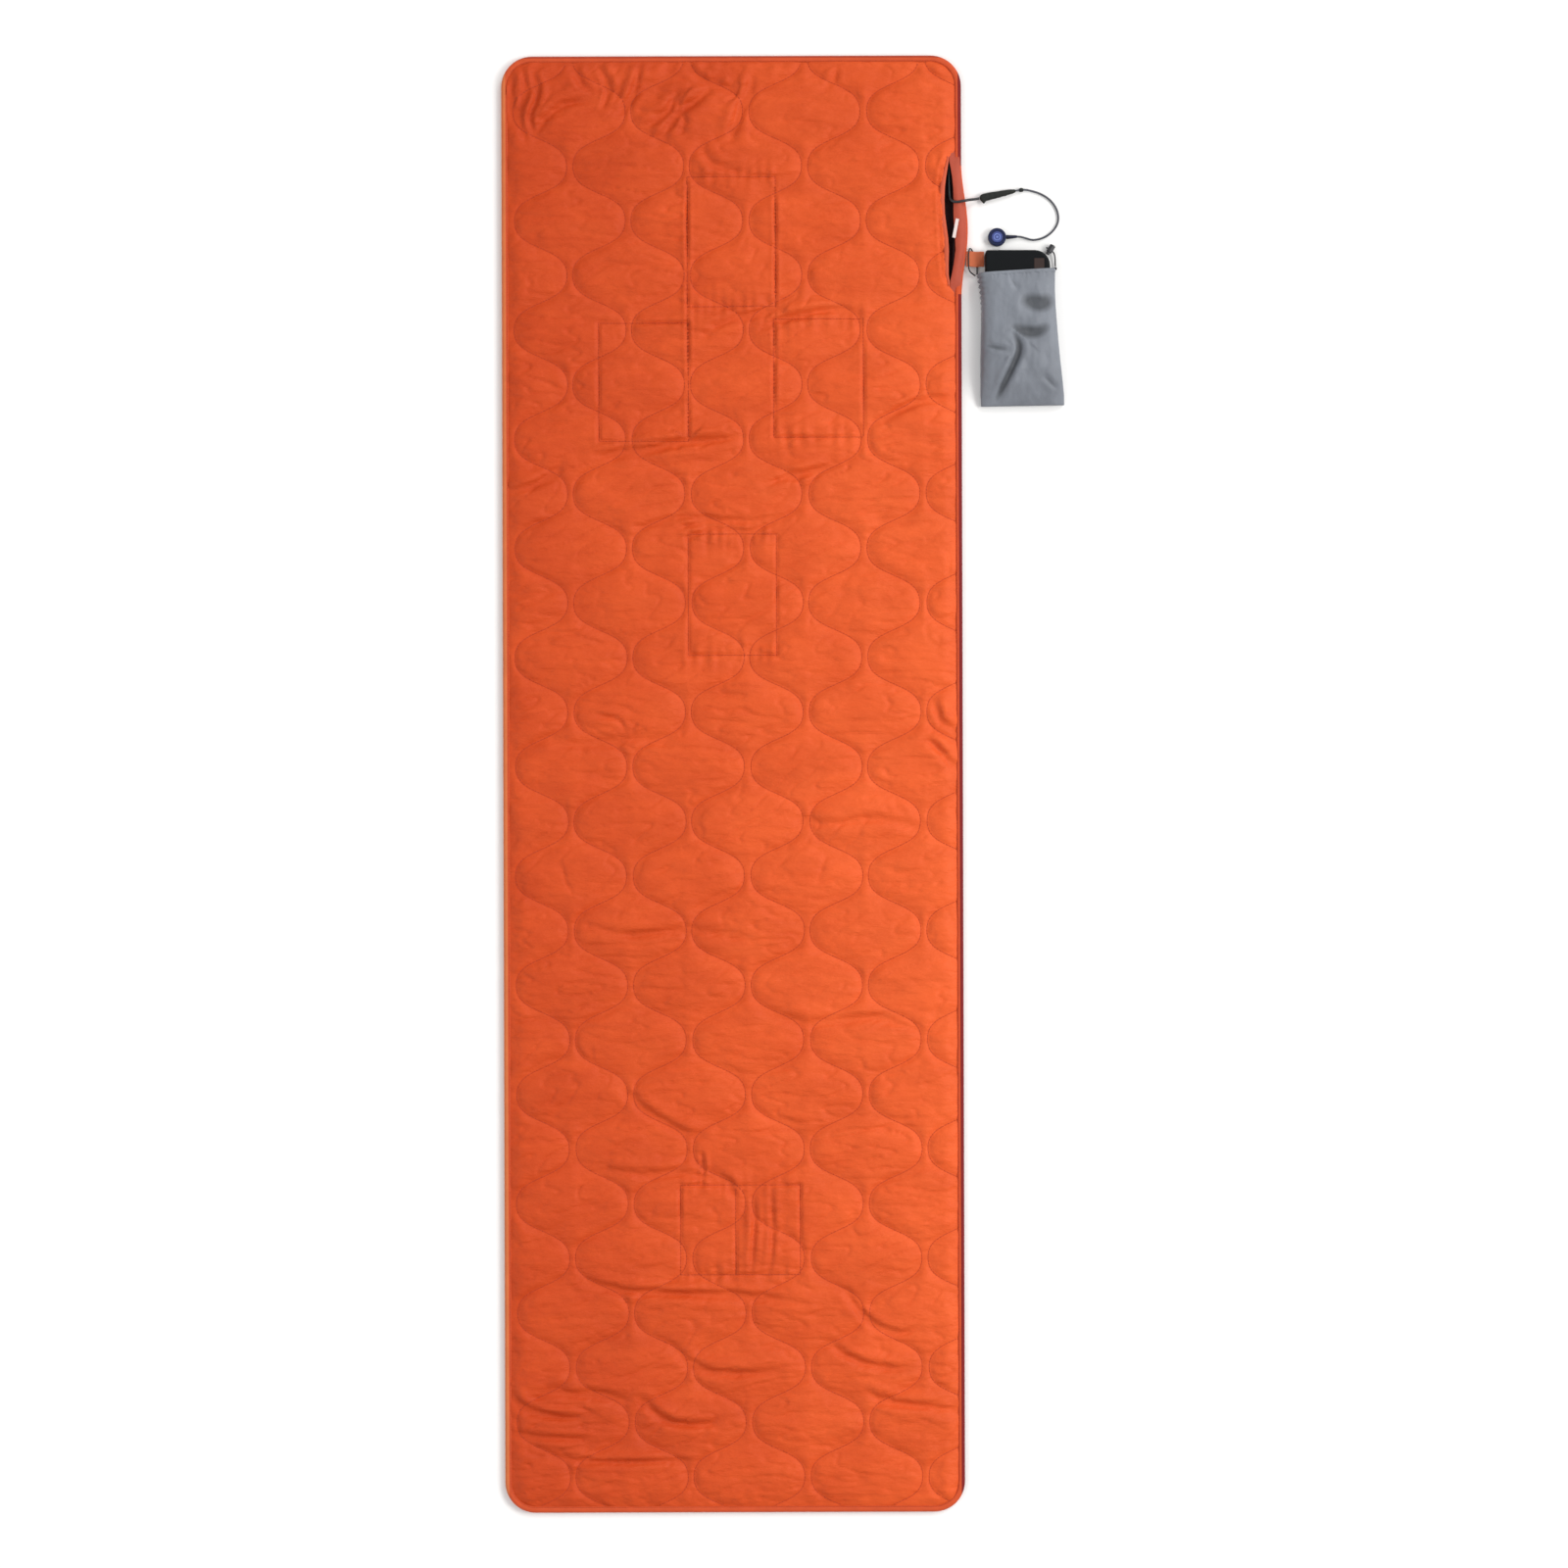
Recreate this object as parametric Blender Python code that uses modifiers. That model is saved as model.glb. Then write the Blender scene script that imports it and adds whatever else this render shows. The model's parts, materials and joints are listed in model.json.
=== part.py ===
"""Infrared sauna mat: quilted heated mat, wired controller, and power bank in a drawstring pouch.

Frame: metres, +Z up. The origin is the centre of the mat's underside, +X is the side with the
pocket, and +Y is the head end. Everything beside the mat is placed from the side anchor, the
point on the mat's right edge that is level with the middle of the pocket slit.
"""

import math

import bmesh
import bpy
from mathutils import Matrix, Vector

MM = 0.001
GAP = 0.3 * MM  # clearance between pieces that touch

# Mat
MAT_WIDTH = 600 * MM
MAT_LENGTH = 1900 * MM
CORNER_RADIUS = 40 * MM
CORNER_STEPS = 5
FABRIC = 0.8 * MM
BATTING_THICK = 7.0 * MM
HEATER_THICK = 1.0 * MM
BINDING_WIDTH = 8.5 * MM
SWELL = 8.5 * MM  # how far the edge bellies out beside the pocket
SWELL_PAST_SLIT = 11.5 * MM  # how far it runs past each end of the slit
SWELL_SHIFT = -11 * MM  # middle of the swell, from the middle of the slit
SWELL_STEPS = 12

# Pocket
POCKET_FROM_HEAD = 217 * MM
SLIT_LENGTH = 157 * MM
SLIT_WIDTH = 11.2 * MM
SLIT_FROM_EDGE = 16 * MM
POCKET_DEPTH = 117 * MM
POCKET_MARGIN = 4.5 * MM  # how far the bag runs past each end of the slit
BAG_FROM_EDGE = 9.2 * MM
BAG_WALL = 0.6 * MM
WELT_THICK = 1.0 * MM
INNER_WELT_WIDTH = 7.0 * MM
OUTER_WELT_WIDTH = 3.5 * MM
LABEL_SIZE = (5.5 * MM, 26 * MM, 0.4 * MM)
LABEL_PLACE = (-8 * MM, -10 * MM)
LABEL_TURN = math.radians(-11)

# Heater pads: name, centre across, centre from the head end, width, length
FEET_FROM_FOOT = 369 * MM
PAD_CORNER = 4 * MM
RIBBON_WIDTH = 8 * MM
RIBBON_THICK = 0.8 * MM
HEATERS = {
    "heater_upper_back": (0, 243 * MM, 114 * MM, 168 * MM),
    "heater_left_shoulder": (-115 * MM, 426 * MM, 116 * MM, 153 * MM),
    "heater_right_shoulder": (113 * MM, 421 * MM, 116 * MM, 153 * MM),
    "heater_lumbar": (0, 703 * MM, 114 * MM, 157 * MM),
    "heater_feet": (8 * MM, MAT_LENGTH - FEET_FROM_FOOT, 155 * MM, 116 * MM),
}

# Webbing tab
TAB_WIDTH = 20 * MM
TAB_THICK = 1.5 * MM
TAB_HEIGHT = 5.0 * MM
TAB_CENTRE = -49 * MM
TAB_FROM_EDGE = 0.67 * MM
TAB_TO_BANK = 0.9 * MM

# Lead, its sleeve and bead
LEAD_DIAMETER = 3.5 * MM
CORD_DIAMETER = 2.5 * MM
STRING_DIAMETER = 1.8 * MM
GLAND_LENGTH = 16 * MM
GLAND_BACK = 4 * MM  # how far the gland stands out behind the pocket bag
GLAND_FLANGE = LEAD_DIAMETER / 2 + 1.15 * MM
GLAND_NECK = LEAD_DIAMETER / 2 + 0.55 * MM
GLAND_TIP = LEAD_DIAMETER / 2 + 0.2 * MM
SLEEVE_START = (24.4, 30.6)
SLEEVE_END = (70.3, 40.2)
SLEEVE_RADIUS = 4.7 * MM
SLEEVE_SHAPE = [(0.0, 0.50), (0.09, 0.83), (0.26, 1.0), (0.61, 0.88), (0.93, 0.60), (1.0, 0.44)]
BEAD_CENTRE = (78.4, 41.6)
BEAD_WALL = 0.85 * MM
BEAD_LIP = 0.1 * MM
BEAD_LENGTH = 5.4 * MM
BEAD_HEIGHT = 2.9 * MM

# Controller
CONTROLLER_CENTRE = (46.5, -20.4)
CONTROLLER_RADIUS = 11.75 * MM
CONTROLLER_WALL = 1.3 * MM
BASE_HEIGHT = 6.2 * MM
BASE_ROUND = 0.8 * MM
BEZEL_WIDTH = 4.35 * MM
BEZEL_HEIGHT = 1.8 * MM
BEZEL_CHAMFER = (1.2 * MM, 0.9 * MM)
BUTTON_RIM = 1.2 * MM
BUTTON_RIM_THICK = 0.7 * MM
BUTTON_STEM = 2.4 * MM
BUTTON_EDGE = (0.8 * MM, 0.6 * MM)
BUTTON_PROUD = 0.5 * MM
BUTTON_TRAVEL = 0.8 * MM
BOARD_THICK = 1.0 * MM
SWITCH_SIDE = 4.0 * MM
SWITCH_HEIGHT = 1.5 * MM
RELIEF_RADIUS = 2.7 * MM
RELIEF_TIP = 1.6 * MM
RELIEF_SHOULDER = 1.5 * MM
RELIEF_HEIGHT = 3.1 * MM

# Power bank
BANK_WIDTH = 84.3 * MM
BANK_LENGTH = 118 * MM
BANK_HEIGHT = 20 * MM
BANK_LEFT = 30.5 * MM
BANK_TOP = -39 * MM
BANK_WALL = 2.0 * MM
BANK_ROUND = 3.0 * MM
BANK_CORNER = 4 * MM
BANK_BIG_CORNER = 20 * MM
CELL_SIDE_ROOM = 4.15 * MM
CELL_END_ROOM = 29.4 * MM
CELL_CORNER = 3 * MM
BANK_BOARD_LEFT_ROOM = 3.15 * MM
BANK_BOARD_RIGHT_ROOM = 15.15 * MM
BANK_BOARD_LENGTH = 21 * MM
BANK_BOARD_THICK = 1.2 * MM
PORT_OUTER = (14.2 * MM, 13 * MM, 6.2 * MM)
PORT_HOLLOW = (12.4 * MM, 10 * MM, 4.8 * MM)
PORT_ACROSS = 4 * MM  # from the middle of the bank
PORT_SET_IN = 0.6 * MM
CUT_PAST = 4 * MM  # how far a cutter runs past the wall that it cuts
BANK_BUTTON_RADIUS = 3.0 * MM
BANK_BUTTON_RIM = 0.9 * MM
BANK_BUTTON_EDGE = 0.4 * MM
BANK_BUTTON_ACROSS = -24 * MM
BANK_BUTTON_LENGTH = 3.4 * MM
BANK_BUTTON_PROUD = 0.8 * MM
BANK_BUTTON_TRAVEL = 0.6 * MM
BANK_SWITCH = (6 * MM, 4 * MM, 5.0 * MM)
WINDOW_SIZE = (13 * MM, 20 * MM, 1.0 * MM)
WINDOW_FROM_RIGHT = 14.3 * MM
WINDOW_FROM_TOP = 21 * MM

# Pouch
POUCH_CLOTH = 0.8 * MM
POUCH_OVER_BANK = 4.2 * MM
POUCH_RING = 28
POUCH_LOW = 6.0 * MM  # height of the pouch's side fold
POUCH_TOP_POWER = 5.0
POUCH_UNDER_POWER = 8.0
# Stations in mm: how far the left side stands out from the bank and how far along it is, the same for
# the right side, and how far the top has dropped. The first list runs down from the level of the bank's
# top, the second from the level of its foot.
POUCH_FROM_TOP = [
    (9.0, -32.5, 6.7, -26.6, 0.2), (8.5, -37.0, 6.8, -32.0, 0.0), (6.2, -53.0, 6.6, -51.0, 0.0),
    (5.0, -73.0, 7.5, -73.0, 0.0),
]
POUCH_FROM_FOOT = [
    (5.1, 22.0, 9.2, 22.0, 0.0), (5.7, -2.0, 11.2, -2.0, 0.0), (6.1, -23.0, 13.2, -23.0, 0.2),
    (6.1, -37.0, 14.8, -37.0, 0.8), (6.1, -55.0, 16.8, -54.5, 5.6), (6.1, -71.0, 18.4, -70.0, 12.6),
    (5.3, -84.2, 18.8, -82.6, 18.6),
]

# Cord lock
LOCK_FROM_BANK = (1.98 * MM, 3.51 * MM)  # from the bank's upper right corner
LOCK_TURN = math.radians(237)  # the way its plunger points
LOCK_RADIUS = 3.85 * MM
LOCK_WALL = 0.95 * MM
LOCK_LENGTH = 10.6 * MM
LOCK_RIM = 0.7 * MM
LOCK_FLOOR = 1.2 * MM
LOCK_REST = 4.2 * MM
PLUNGER_FIT = 0.35 * MM
PLUNGER_PROUD = 3.6 * MM
PLUNGER_TRAVEL = 2.0 * MM
PLUNGER_DEPTH = 5.9 * MM
SPRING_WIRE = 0.5 * MM
SPRING_TURNS = 2.5
SPRING_STEPS = 30
STRING_ROOM = 0.4 * MM
STRING_RISE = 1.8 * MM  # the string's hole, from the middle of the body towards the plunger
KNOT_FROM_BANK = (7.8 * MM, -22.2 * MM)  # from the bank's upper right corner
KNOT_RADIUS = 2.2 * MM

# Routes, in mm from the side anchor, with the height of the cord's centre line
LEAD_ROUTE = [
    (-16.0, 70.7, 5.8), (-16.0, 56.0, 5.8), (-15.9, 43.0, 6.0), (-15.5, 33.5, 8.0), (-14.4, 27.8, 12.5),
    (-10.8, 24.9, 14.6), (-4.0, 24.6, 14.5), (3.0, 25.8, 14.3), (9.5, 27.3, 12.6), (14.5, 28.4, 8.6),
    (19.0, 29.4, 5.4), (23.4, 30.4, 4.7),
]
CORD_ROUTE = [
    (71.0, 40.35, 4.5), (74.0, 40.85, 3.4), (78.4, 41.6, 2.9), (82.5, 42.0, 2.0), (88.0, 41.4, 1.4),
    (94.3, 39.8, 1.3), (102.7, 37.0, 1.3), (110.3, 32.9, 1.3), (116.7, 27.8, 1.3), (121.7, 21.6, 1.3),
    (125.3, 14.4, 1.3), (126.8, 6.8, 1.3), (126.4, 0.2, 1.3), (124.0, -5.8, 1.3), (120.0, -11.4, 1.3),
    (114.9, -16.1, 1.3), (108.9, -19.9, 1.3), (102.3, -22.3, 1.3), (93.2, -23.5, 1.3), (83.0, -20.9, 1.9),
    (77.5, -19.6, 2.7), (73.0, -19.3, 3.1),
]
LOOP_ROUTE = [
    (18.2, -70.4, 3.0), (14.0, -67.4, 2.8), (10.8, -64.4, 4.8), (9.5, -60.6, 7.2), (9.0, -55.0, 8.0),
    (9.0, -46.0, 8.0), (9.3, -39.6, 7.9), (10.2, -36.4, 6.8), (11.6, -34.8, 4.2), (13.6, -36.4, 1.9),
    (16.6, -42.4, 1.3), (18.8, -50.0, 1.3), (20.2, -57.0, 1.3), (20.6, -63.0, 1.8), (20.4, -68.4, 3.0),
]
TAIL_ROUTE = [
    (110.7, -33.7, 4.2), (115.8, -37.0, 4.2), (118.32, -38.64, 4.2), (120.4, -40.9, 4.2), (121.7, -44.6, 4.1),
    (122.3, -49.2, 3.6), (122.5, -54.0, 3.0), (122.6, -58.4, 2.6),
]
ROUTE_STEP = 2.4  # diameters between the points of a cord's tube

# Heights of the layers
BACK_RIM = FABRIC + GAP
BATTING_LOW = FABRIC + GAP
HEATER_LOW = BATTING_LOW + BATTING_THICK + GAP
COVER_LOW = HEATER_LOW + HEATER_THICK + GAP
COVER_TOP = COVER_LOW + FABRIC
FLANGE_LOW = COVER_TOP + GAP
MAT_THICK = FLANGE_LOW + FABRIC
BAG_LOW = BACK_RIM + FABRIC + GAP
BAG_HEIGHT = COVER_LOW - GAP - BAG_LOW

# Side anchor, slit, and the swell beside it
ANCHOR_X = MAT_WIDTH / 2
ANCHOR_Y = MAT_LENGTH / 2 - POCKET_FROM_HEAD
SLIT_X = ANCHOR_X - SLIT_FROM_EDGE
SWELL_Y = ANCHOR_Y + SWELL_SHIFT
SWELL_HALF = SLIT_LENGTH / 2 + SWELL_PAST_SLIT
BAG_HALF = SLIT_LENGTH / 2 + POCKET_MARGIN

# What fits in the controller, on the cord and in the lock
CONTROLLER_INSIDE = CONTROLLER_RADIUS - CONTROLLER_WALL
BUTTON_RADIUS = CONTROLLER_RADIUS - BEZEL_WIDTH
BEAD_HOLE = CORD_DIAMETER / 2 + 2 * GAP
BEAD_RADIUS = BEAD_HOLE + BEAD_WALL
LOCK_BORE = LOCK_RADIUS - LOCK_WALL
PLUNGER_RADIUS = LOCK_BORE - PLUNGER_FIT
STRING_HOLE = STRING_DIAMETER / 2 + STRING_ROOM

# Power bank's own frame, and what fits in it
BANK_X = ANCHOR_X + BANK_LEFT + BANK_WIDTH / 2
BANK_Y = ANCHOR_Y + BANK_TOP - BANK_LENGTH / 2
BANK_END = ANCHOR_Y + BANK_TOP
BANK_FOOT = BANK_END - BANK_LENGTH
BANK_RIGHT = BANK_X + BANK_WIDTH / 2
BANK_REST = POUCH_CLOTH + 2 * GAP
BANK_SPLIT = BANK_REST + BANK_HEIGHT / 2
BANK_CELLS = 2
CELL_WIDTH = BANK_WIDTH - 2 * (BANK_WALL + CELL_SIDE_ROOM)
CELL_LENGTH = BANK_LENGTH - 2 * (BANK_WALL + GAP) - CELL_END_ROOM
CELL_THICK = (BANK_HEIGHT - 2 * BANK_WALL) / BANK_CELLS - 2 * GAP
POUCH_TOP = BANK_REST + BANK_HEIGHT + POUCH_OVER_BANK


# ---------------------------------------------------------------- scene, materials

def clear_scene():
    for thing in list(bpy.data.objects):
        bpy.data.objects.remove(thing, do_unlink=True)


def new_collection(name):
    collection = bpy.data.collections.new(name)
    bpy.context.scene.collection.children.link(collection)
    return collection


def material(name, color, roughness, metallic=0.0):
    made = bpy.data.materials.new(name)
    made.use_nodes = True
    shader = made.node_tree.nodes["Principled BSDF"]
    shader.inputs["Base Color"].default_value = (*color, 1)
    shader.inputs["Roughness"].default_value = roughness
    shader.inputs["Metallic"].default_value = metallic
    made.diffuse_color = (*color, 1)
    return made


def add(name, mesh, finish, collection, smooth=True):
    thing = bpy.data.objects.new(name, mesh)
    mesh.materials.clear()
    mesh.materials.append(finish)
    if smooth:
        mesh.shade_smooth()
        mesh.set_sharp_from_angle(angle=math.radians(35))
    collection.objects.link(thing)
    return thing


def evaluated_mesh(thing):
    """The mesh of a curve or a modified object, in world space, with its caps welded."""
    bpy.context.view_layer.update()
    graph = bpy.context.evaluated_depsgraph_get()
    mesh = bpy.data.meshes.new_from_object(thing.evaluated_get(graph))
    mesh.transform(thing.matrix_world)
    bm = bmesh.new()
    bm.from_mesh(mesh)
    bmesh.ops.remove_doubles(bm, verts=bm.verts, dist=1e-6)
    bmesh.ops.recalc_face_normals(bm, faces=bm.faces)
    bm.to_mesh(mesh)
    bm.free()
    bpy.data.objects.remove(thing, do_unlink=True)
    return mesh


# ---------------------------------------------------------------- shapes

def box_mesh(name, centre, size, turn=0.0):
    mesh = bpy.data.meshes.new(name)
    bm = bmesh.new()
    bmesh.ops.create_cube(bm, size=1)
    place = Matrix.Translation(centre) @ Matrix.Rotation(turn, 4, "Z") @ Matrix.Diagonal((*size, 1))
    bm.transform(place)
    bm.to_mesh(mesh)
    bm.free()
    return mesh


def plate_mesh(name, outline, low, high):
    """A flat outline of (x, y) points, extruded from one height to another."""
    curve = bpy.data.curves.new(name, "CURVE")
    curve.dimensions = "2D"
    curve.fill_mode = "BOTH"
    curve.extrude = (high - low) / 2
    spline = curve.splines.new("POLY")
    spline.points.add(len(outline) - 1)
    for point, (x, y) in zip(spline.points, outline):
        point.co = (x, y, 0, 1)
    spline.use_cyclic_u = True
    guide = bpy.data.objects.new(name + "_outline", curve)
    guide.location.z = (high + low) / 2
    bpy.context.scene.collection.objects.link(guide)
    return evaluated_mesh(guide)


def turned_mesh(name, profile, place, steps=24):
    """A solid or a ring turned about its own Z from (radius, height) points, then put in place."""
    mesh = bpy.data.meshes.new(name + "_profile")
    ends = [(r, 0, z) for r, z in profile]
    closed = profile[0][0] > 0
    count = len(ends)
    edges = [(i, i + 1) for i in range(count - 1)]
    if closed:
        edges.append((count - 1, 0))
    mesh.from_pydata(ends, edges, [])
    guide = bpy.data.objects.new(name + "_guide", mesh)
    bpy.context.scene.collection.objects.link(guide)
    screw = guide.modifiers.new("turn", "SCREW")
    screw.steps = steps
    screw.render_steps = steps
    screw.use_merge_vertices = True
    screw.merge_threshold = 1e-5
    guide.matrix_world = place
    return evaluated_mesh(guide)


def loft_mesh(name, rings, close_start=True, close_end=True):
    """Skin over rings of equal point count, with flat ends where they are closed."""
    mesh = bpy.data.meshes.new(name)
    bm = bmesh.new()
    loops = [[bm.verts.new(point) for point in ring] for ring in rings]
    for first, second in zip(loops, loops[1:]):
        for i in range(len(first)):
            j = (i + 1) % len(first)
            bm.faces.new((first[i], first[j], second[j], second[i]))
    if close_start:
        bm.faces.new(loops[0][::-1])
    if close_end:
        bm.faces.new(loops[-1])
    bmesh.ops.recalc_face_normals(bm, faces=bm.faces)
    bm.to_mesh(mesh)
    bm.free()
    return mesh


def smooth_route(points, step):
    """Evenly spaced points along a Catmull-Rom curve through the given ones."""
    ends = [points[0] * 2 - points[1]] + points + [points[-1] * 2 - points[-2]]
    fine = []
    for a, b, c, d in zip(ends, ends[1:], ends[2:], ends[3:]):
        for k in range(16):
            t = k / 16
            fine.append(0.5 * (2 * b + (c - a) * t + (2 * a - 5 * b + 4 * c - d) * t * t
                               + (3 * b - a - 3 * c + d) * t ** 3))
    fine.append(points[-1])
    total = sum((q - p).length for p, q in zip(fine, fine[1:]))
    count = max(2, round(total / step))
    spaced, walked, wanted = [fine[0]], 0.0, total / count
    for p, q in zip(fine, fine[1:]):
        length = (q - p).length
        while walked + length >= wanted - 1e-9 and len(spaced) < count:
            spaced.append(p.lerp(q, (wanted - walked) / length))
            wanted += total / count
        walked += length
    spaced.append(fine[-1])
    return spaced


def tube_mesh(name, points, diameter):
    curve = bpy.data.curves.new(name, "CURVE")
    curve.dimensions = "3D"
    curve.bevel_depth = diameter / 2
    curve.bevel_resolution = 2
    curve.use_fill_caps = True
    spline = curve.splines.new("POLY")
    spline.points.add(len(points) - 1)
    for point, place in zip(spline.points, points):
        point.co = (*place, 1)
    guide = bpy.data.objects.new(name + "_route", curve)
    bpy.context.scene.collection.objects.link(guide)
    return evaluated_mesh(guide)


def cut(thing, cutter_mesh, cutters, name):
    cutter = bpy.data.objects.new(name, cutter_mesh)
    cutter.hide_render = True
    cutter.display_type = "WIRE"
    cutters.objects.link(cutter)
    boolean = thing.modifiers.new(name, "BOOLEAN")
    boolean.operation = "DIFFERENCE"
    boolean.solver = "EXACT"
    boolean.object = cutter


# ---------------------------------------------------------------- outlines and places

def side(u, v, z=0.0):
    """A point given in mm from the side anchor."""
    return Vector((ANCHOR_X + u * MM, ANCHOR_Y + v * MM, z * MM))


def along(start, direction, roll_axis=Vector((0, 0, 1))):
    """A place whose own Z runs along a direction."""
    z = direction.normalized()
    x = roll_axis.cross(z).normalized()
    y = z.cross(x)
    turn = Matrix((x, y, z)).transposed().to_4x4()
    return Matrix.Translation(start) @ turn


def swell(y):
    offset = (y - SWELL_Y) / SWELL_HALF
    if abs(offset) >= 1:
        return 0.0
    return SWELL * math.cos(offset * math.pi / 2) ** 2


def rounded_outline(low, high, radii, steps, inset=0.0):
    """Rectangle with rounded corners, anticlockwise from the lower right corner."""
    x0, y0 = low[0] + inset, low[1] + inset
    x1, y1 = high[0] - inset, high[1] - inset
    corners = [(x1, y0, 1, -1), (x1, y1, 1, 1), (x0, y1, -1, 1), (x0, y0, -1, -1)]
    outline = []
    for (x, y, sx, sy), radius, start in zip(corners, radii, (-90, 0, 90, 180)):
        r = max(radius - inset, 0.4 * MM)
        for k in range(steps + 1):
            angle = math.radians(start + 90 * k / steps)
            outline.append((x - sx * r + r * math.cos(angle), y - sy * r + r * math.sin(angle)))
    return outline


def mat_outline(inset):
    """The mat's plan with its swell beside the pocket."""
    half_x, half_y = MAT_WIDTH / 2, MAT_LENGTH / 2
    plain = rounded_outline((-half_x, -half_y), (half_x, half_y), [CORNER_RADIUS] * 4, CORNER_STEPS, inset)
    lower, rest = plain[:CORNER_STEPS + 1], plain[CORNER_STEPS + 1:]
    belly = []
    for k in range(SWELL_STEPS + 1):
        y = SWELL_Y + SWELL_HALF * (2 * k / SWELL_STEPS - 1)
        belly.append((half_x - inset + swell(y), y))
    return lower + belly + rest


def mat_ring(inset, z):
    return [(x, y, z) for x, y in mat_outline(inset)]


def slit_half(y):
    share = (y - ANCHOR_Y) / (SLIT_LENGTH / 2)
    return SLIT_WIDTH / 2 * math.sqrt(max(0.0, 1 - share * share))


def slit_outline(grow=0.0, steps=28):
    outline = []
    for k in range(steps):
        angle = 2 * math.pi * k / steps
        x = SLIT_X + (SLIT_WIDTH / 2 + grow) * math.cos(angle)
        y = ANCHOR_Y + (SLIT_LENGTH / 2 + grow) * math.sin(angle)
        outline.append((x, y))
    return outline


def route(points, diameter):
    return smooth_route([side(*p) for p in points], ROUTE_STEP * diameter)


# ---------------------------------------------------------------- mat

def make_mat(parts, cutters, finish):
    back = [mat_ring(BINDING_WIDTH / 8, BACK_RIM), mat_ring(BINDING_WIDTH + 0.7 * MM, BACK_RIM),
            mat_ring(BINDING_WIDTH + 3.5 * MM, 0.0)]
    top_side = [[(x, y, z + FABRIC) for x, y, z in ring] for ring in back]
    add("back_cover", loft_mesh("back_cover", back[::-1] + top_side), finish["lining"], parts)

    batting_outline = mat_outline(BINDING_WIDTH + 4.5 * MM)
    batting = add("batting", plate_mesh("batting", batting_outline, BATTING_LOW, BATTING_LOW + BATTING_THICK),
                  finish["batting"], parts)
    notch_left = ANCHOR_X - BAG_FROM_EDGE - POCKET_DEPTH - GAP
    notch_right = ANCHOR_X + SWELL + BINDING_WIDTH
    notch_half = BAG_HALF + GAP
    notch = box_mesh("pocket_notch", ((notch_left + notch_right) / 2, ANCHOR_Y, MAT_THICK / 2),
                     (notch_right - notch_left, 2 * notch_half, 2 * MAT_THICK))
    cut(batting, notch, cutters, "pocket_notch")
    gland_side = 2 * (GLAND_FLANGE + GAP)
    gland_at = (SLIT_X, ANCHOR_Y + notch_half, BAG_LOW + BAG_HEIGHT / 2)
    gland_room = box_mesh("gland_notch", gland_at, (gland_side, 2 * (GLAND_BACK + GAP), gland_side))
    cut(batting, gland_room, cutters, "gland_notch")

    cover = add("top_cover", plate_mesh("top_cover", mat_outline(BINDING_WIDTH / 8), COVER_LOW, COVER_TOP),
                finish["cover"], parts)
    cut(cover, plate_mesh("slit_cut", slit_outline(), 0, 2 * MAT_THICK), cutters, "slit_cut")

    sections = [(BINDING_WIDTH, 0.0), (0.0, 0.0), (0.0, MAT_THICK), (BINDING_WIDTH, MAT_THICK),
                (BINDING_WIDTH, FLANGE_LOW), (FABRIC, FLANGE_LOW), (FABRIC, FABRIC), (BINDING_WIDTH, FABRIC)]
    rings = [mat_ring(inset, z) for inset, z in sections]
    rings.append(rings[0])
    binding = loft_mesh("edge_binding", rings, False, False)
    weld(binding)
    add("edge_binding", binding, finish["binding"], parts)


def weld(mesh):
    bm = bmesh.new()
    bm.from_mesh(mesh)
    bmesh.ops.remove_doubles(bm, verts=bm.verts, dist=1e-6)
    bmesh.ops.recalc_face_normals(bm, faces=bm.faces)
    bm.to_mesh(mesh)
    bm.free()


def heater_box(name):
    """The pad's lowest and highest corners in plan."""
    across, down, width, length = HEATERS[name]
    centre_y = MAT_LENGTH / 2 - down
    return across - width / 2, centre_y - length / 2, across + width / 2, centre_y + length / 2


def make_heaters(parts, finish):
    for name in HEATERS:
        x0, y0, x1, y1 = heater_box(name)
        outline = rounded_outline((x0, y0), (x1, y1), [PAD_CORNER] * 4, 3)
        add(name, plate_mesh(name, outline, HEATER_LOW, HEATER_LOW + HEATER_THICK), finish["heater"], parts)

    upper = heater_box("heater_upper_back")
    left = heater_box("heater_left_shoulder")
    right = heater_box("heater_right_shoulder")
    lumbar = heater_box("heater_lumbar")
    feet = heater_box("heater_feet")
    half = RIBBON_WIDTH / 2
    middle = (upper[0] + upper[2]) / 2
    branch = (max(left[1], right[1]) + min(left[3], right[3])) / 2
    cross = [
        (middle - half, lumbar[3] + GAP), (middle + half, lumbar[3] + GAP), (middle + half, branch - half),
        (right[0] - GAP, branch - half), (right[0] - GAP, branch + half), (middle + half, branch + half),
        (middle + half, upper[1] - GAP), (middle - half, upper[1] - GAP), (middle - half, branch + half),
        (left[2] + GAP, branch + half), (left[2] + GAP, branch - half), (middle - half, branch - half),
    ]
    down = [
        (middle - half, feet[3] + GAP), (middle + half, feet[3] + GAP),
        (middle + half, lumbar[1] - GAP), (middle - half, lumbar[1] - GAP),
    ]
    start_x = upper[2] - 3 * half
    run_y = ANCHOR_Y + BAG_HALF + 3 * half
    end_y = ANCHOR_Y + BAG_HALF + GLAND_BACK + GAP
    feed = [
        (start_x - half, upper[3] + GAP), (start_x + half, upper[3] + GAP), (start_x + half, run_y - half),
        (SLIT_X - half, run_y - half), (SLIT_X - half, end_y), (SLIT_X + half, end_y),
        (SLIT_X + half, run_y + half), (start_x - half, run_y + half),
    ]
    for name, outline in {"harness_back": cross, "harness_feet": down, "harness_feed": feed}.items():
        mesh = plate_mesh(name, outline, HEATER_LOW, HEATER_LOW + RIBBON_THICK)
        add(name, mesh, finish["harness"], parts, smooth=False)


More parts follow.
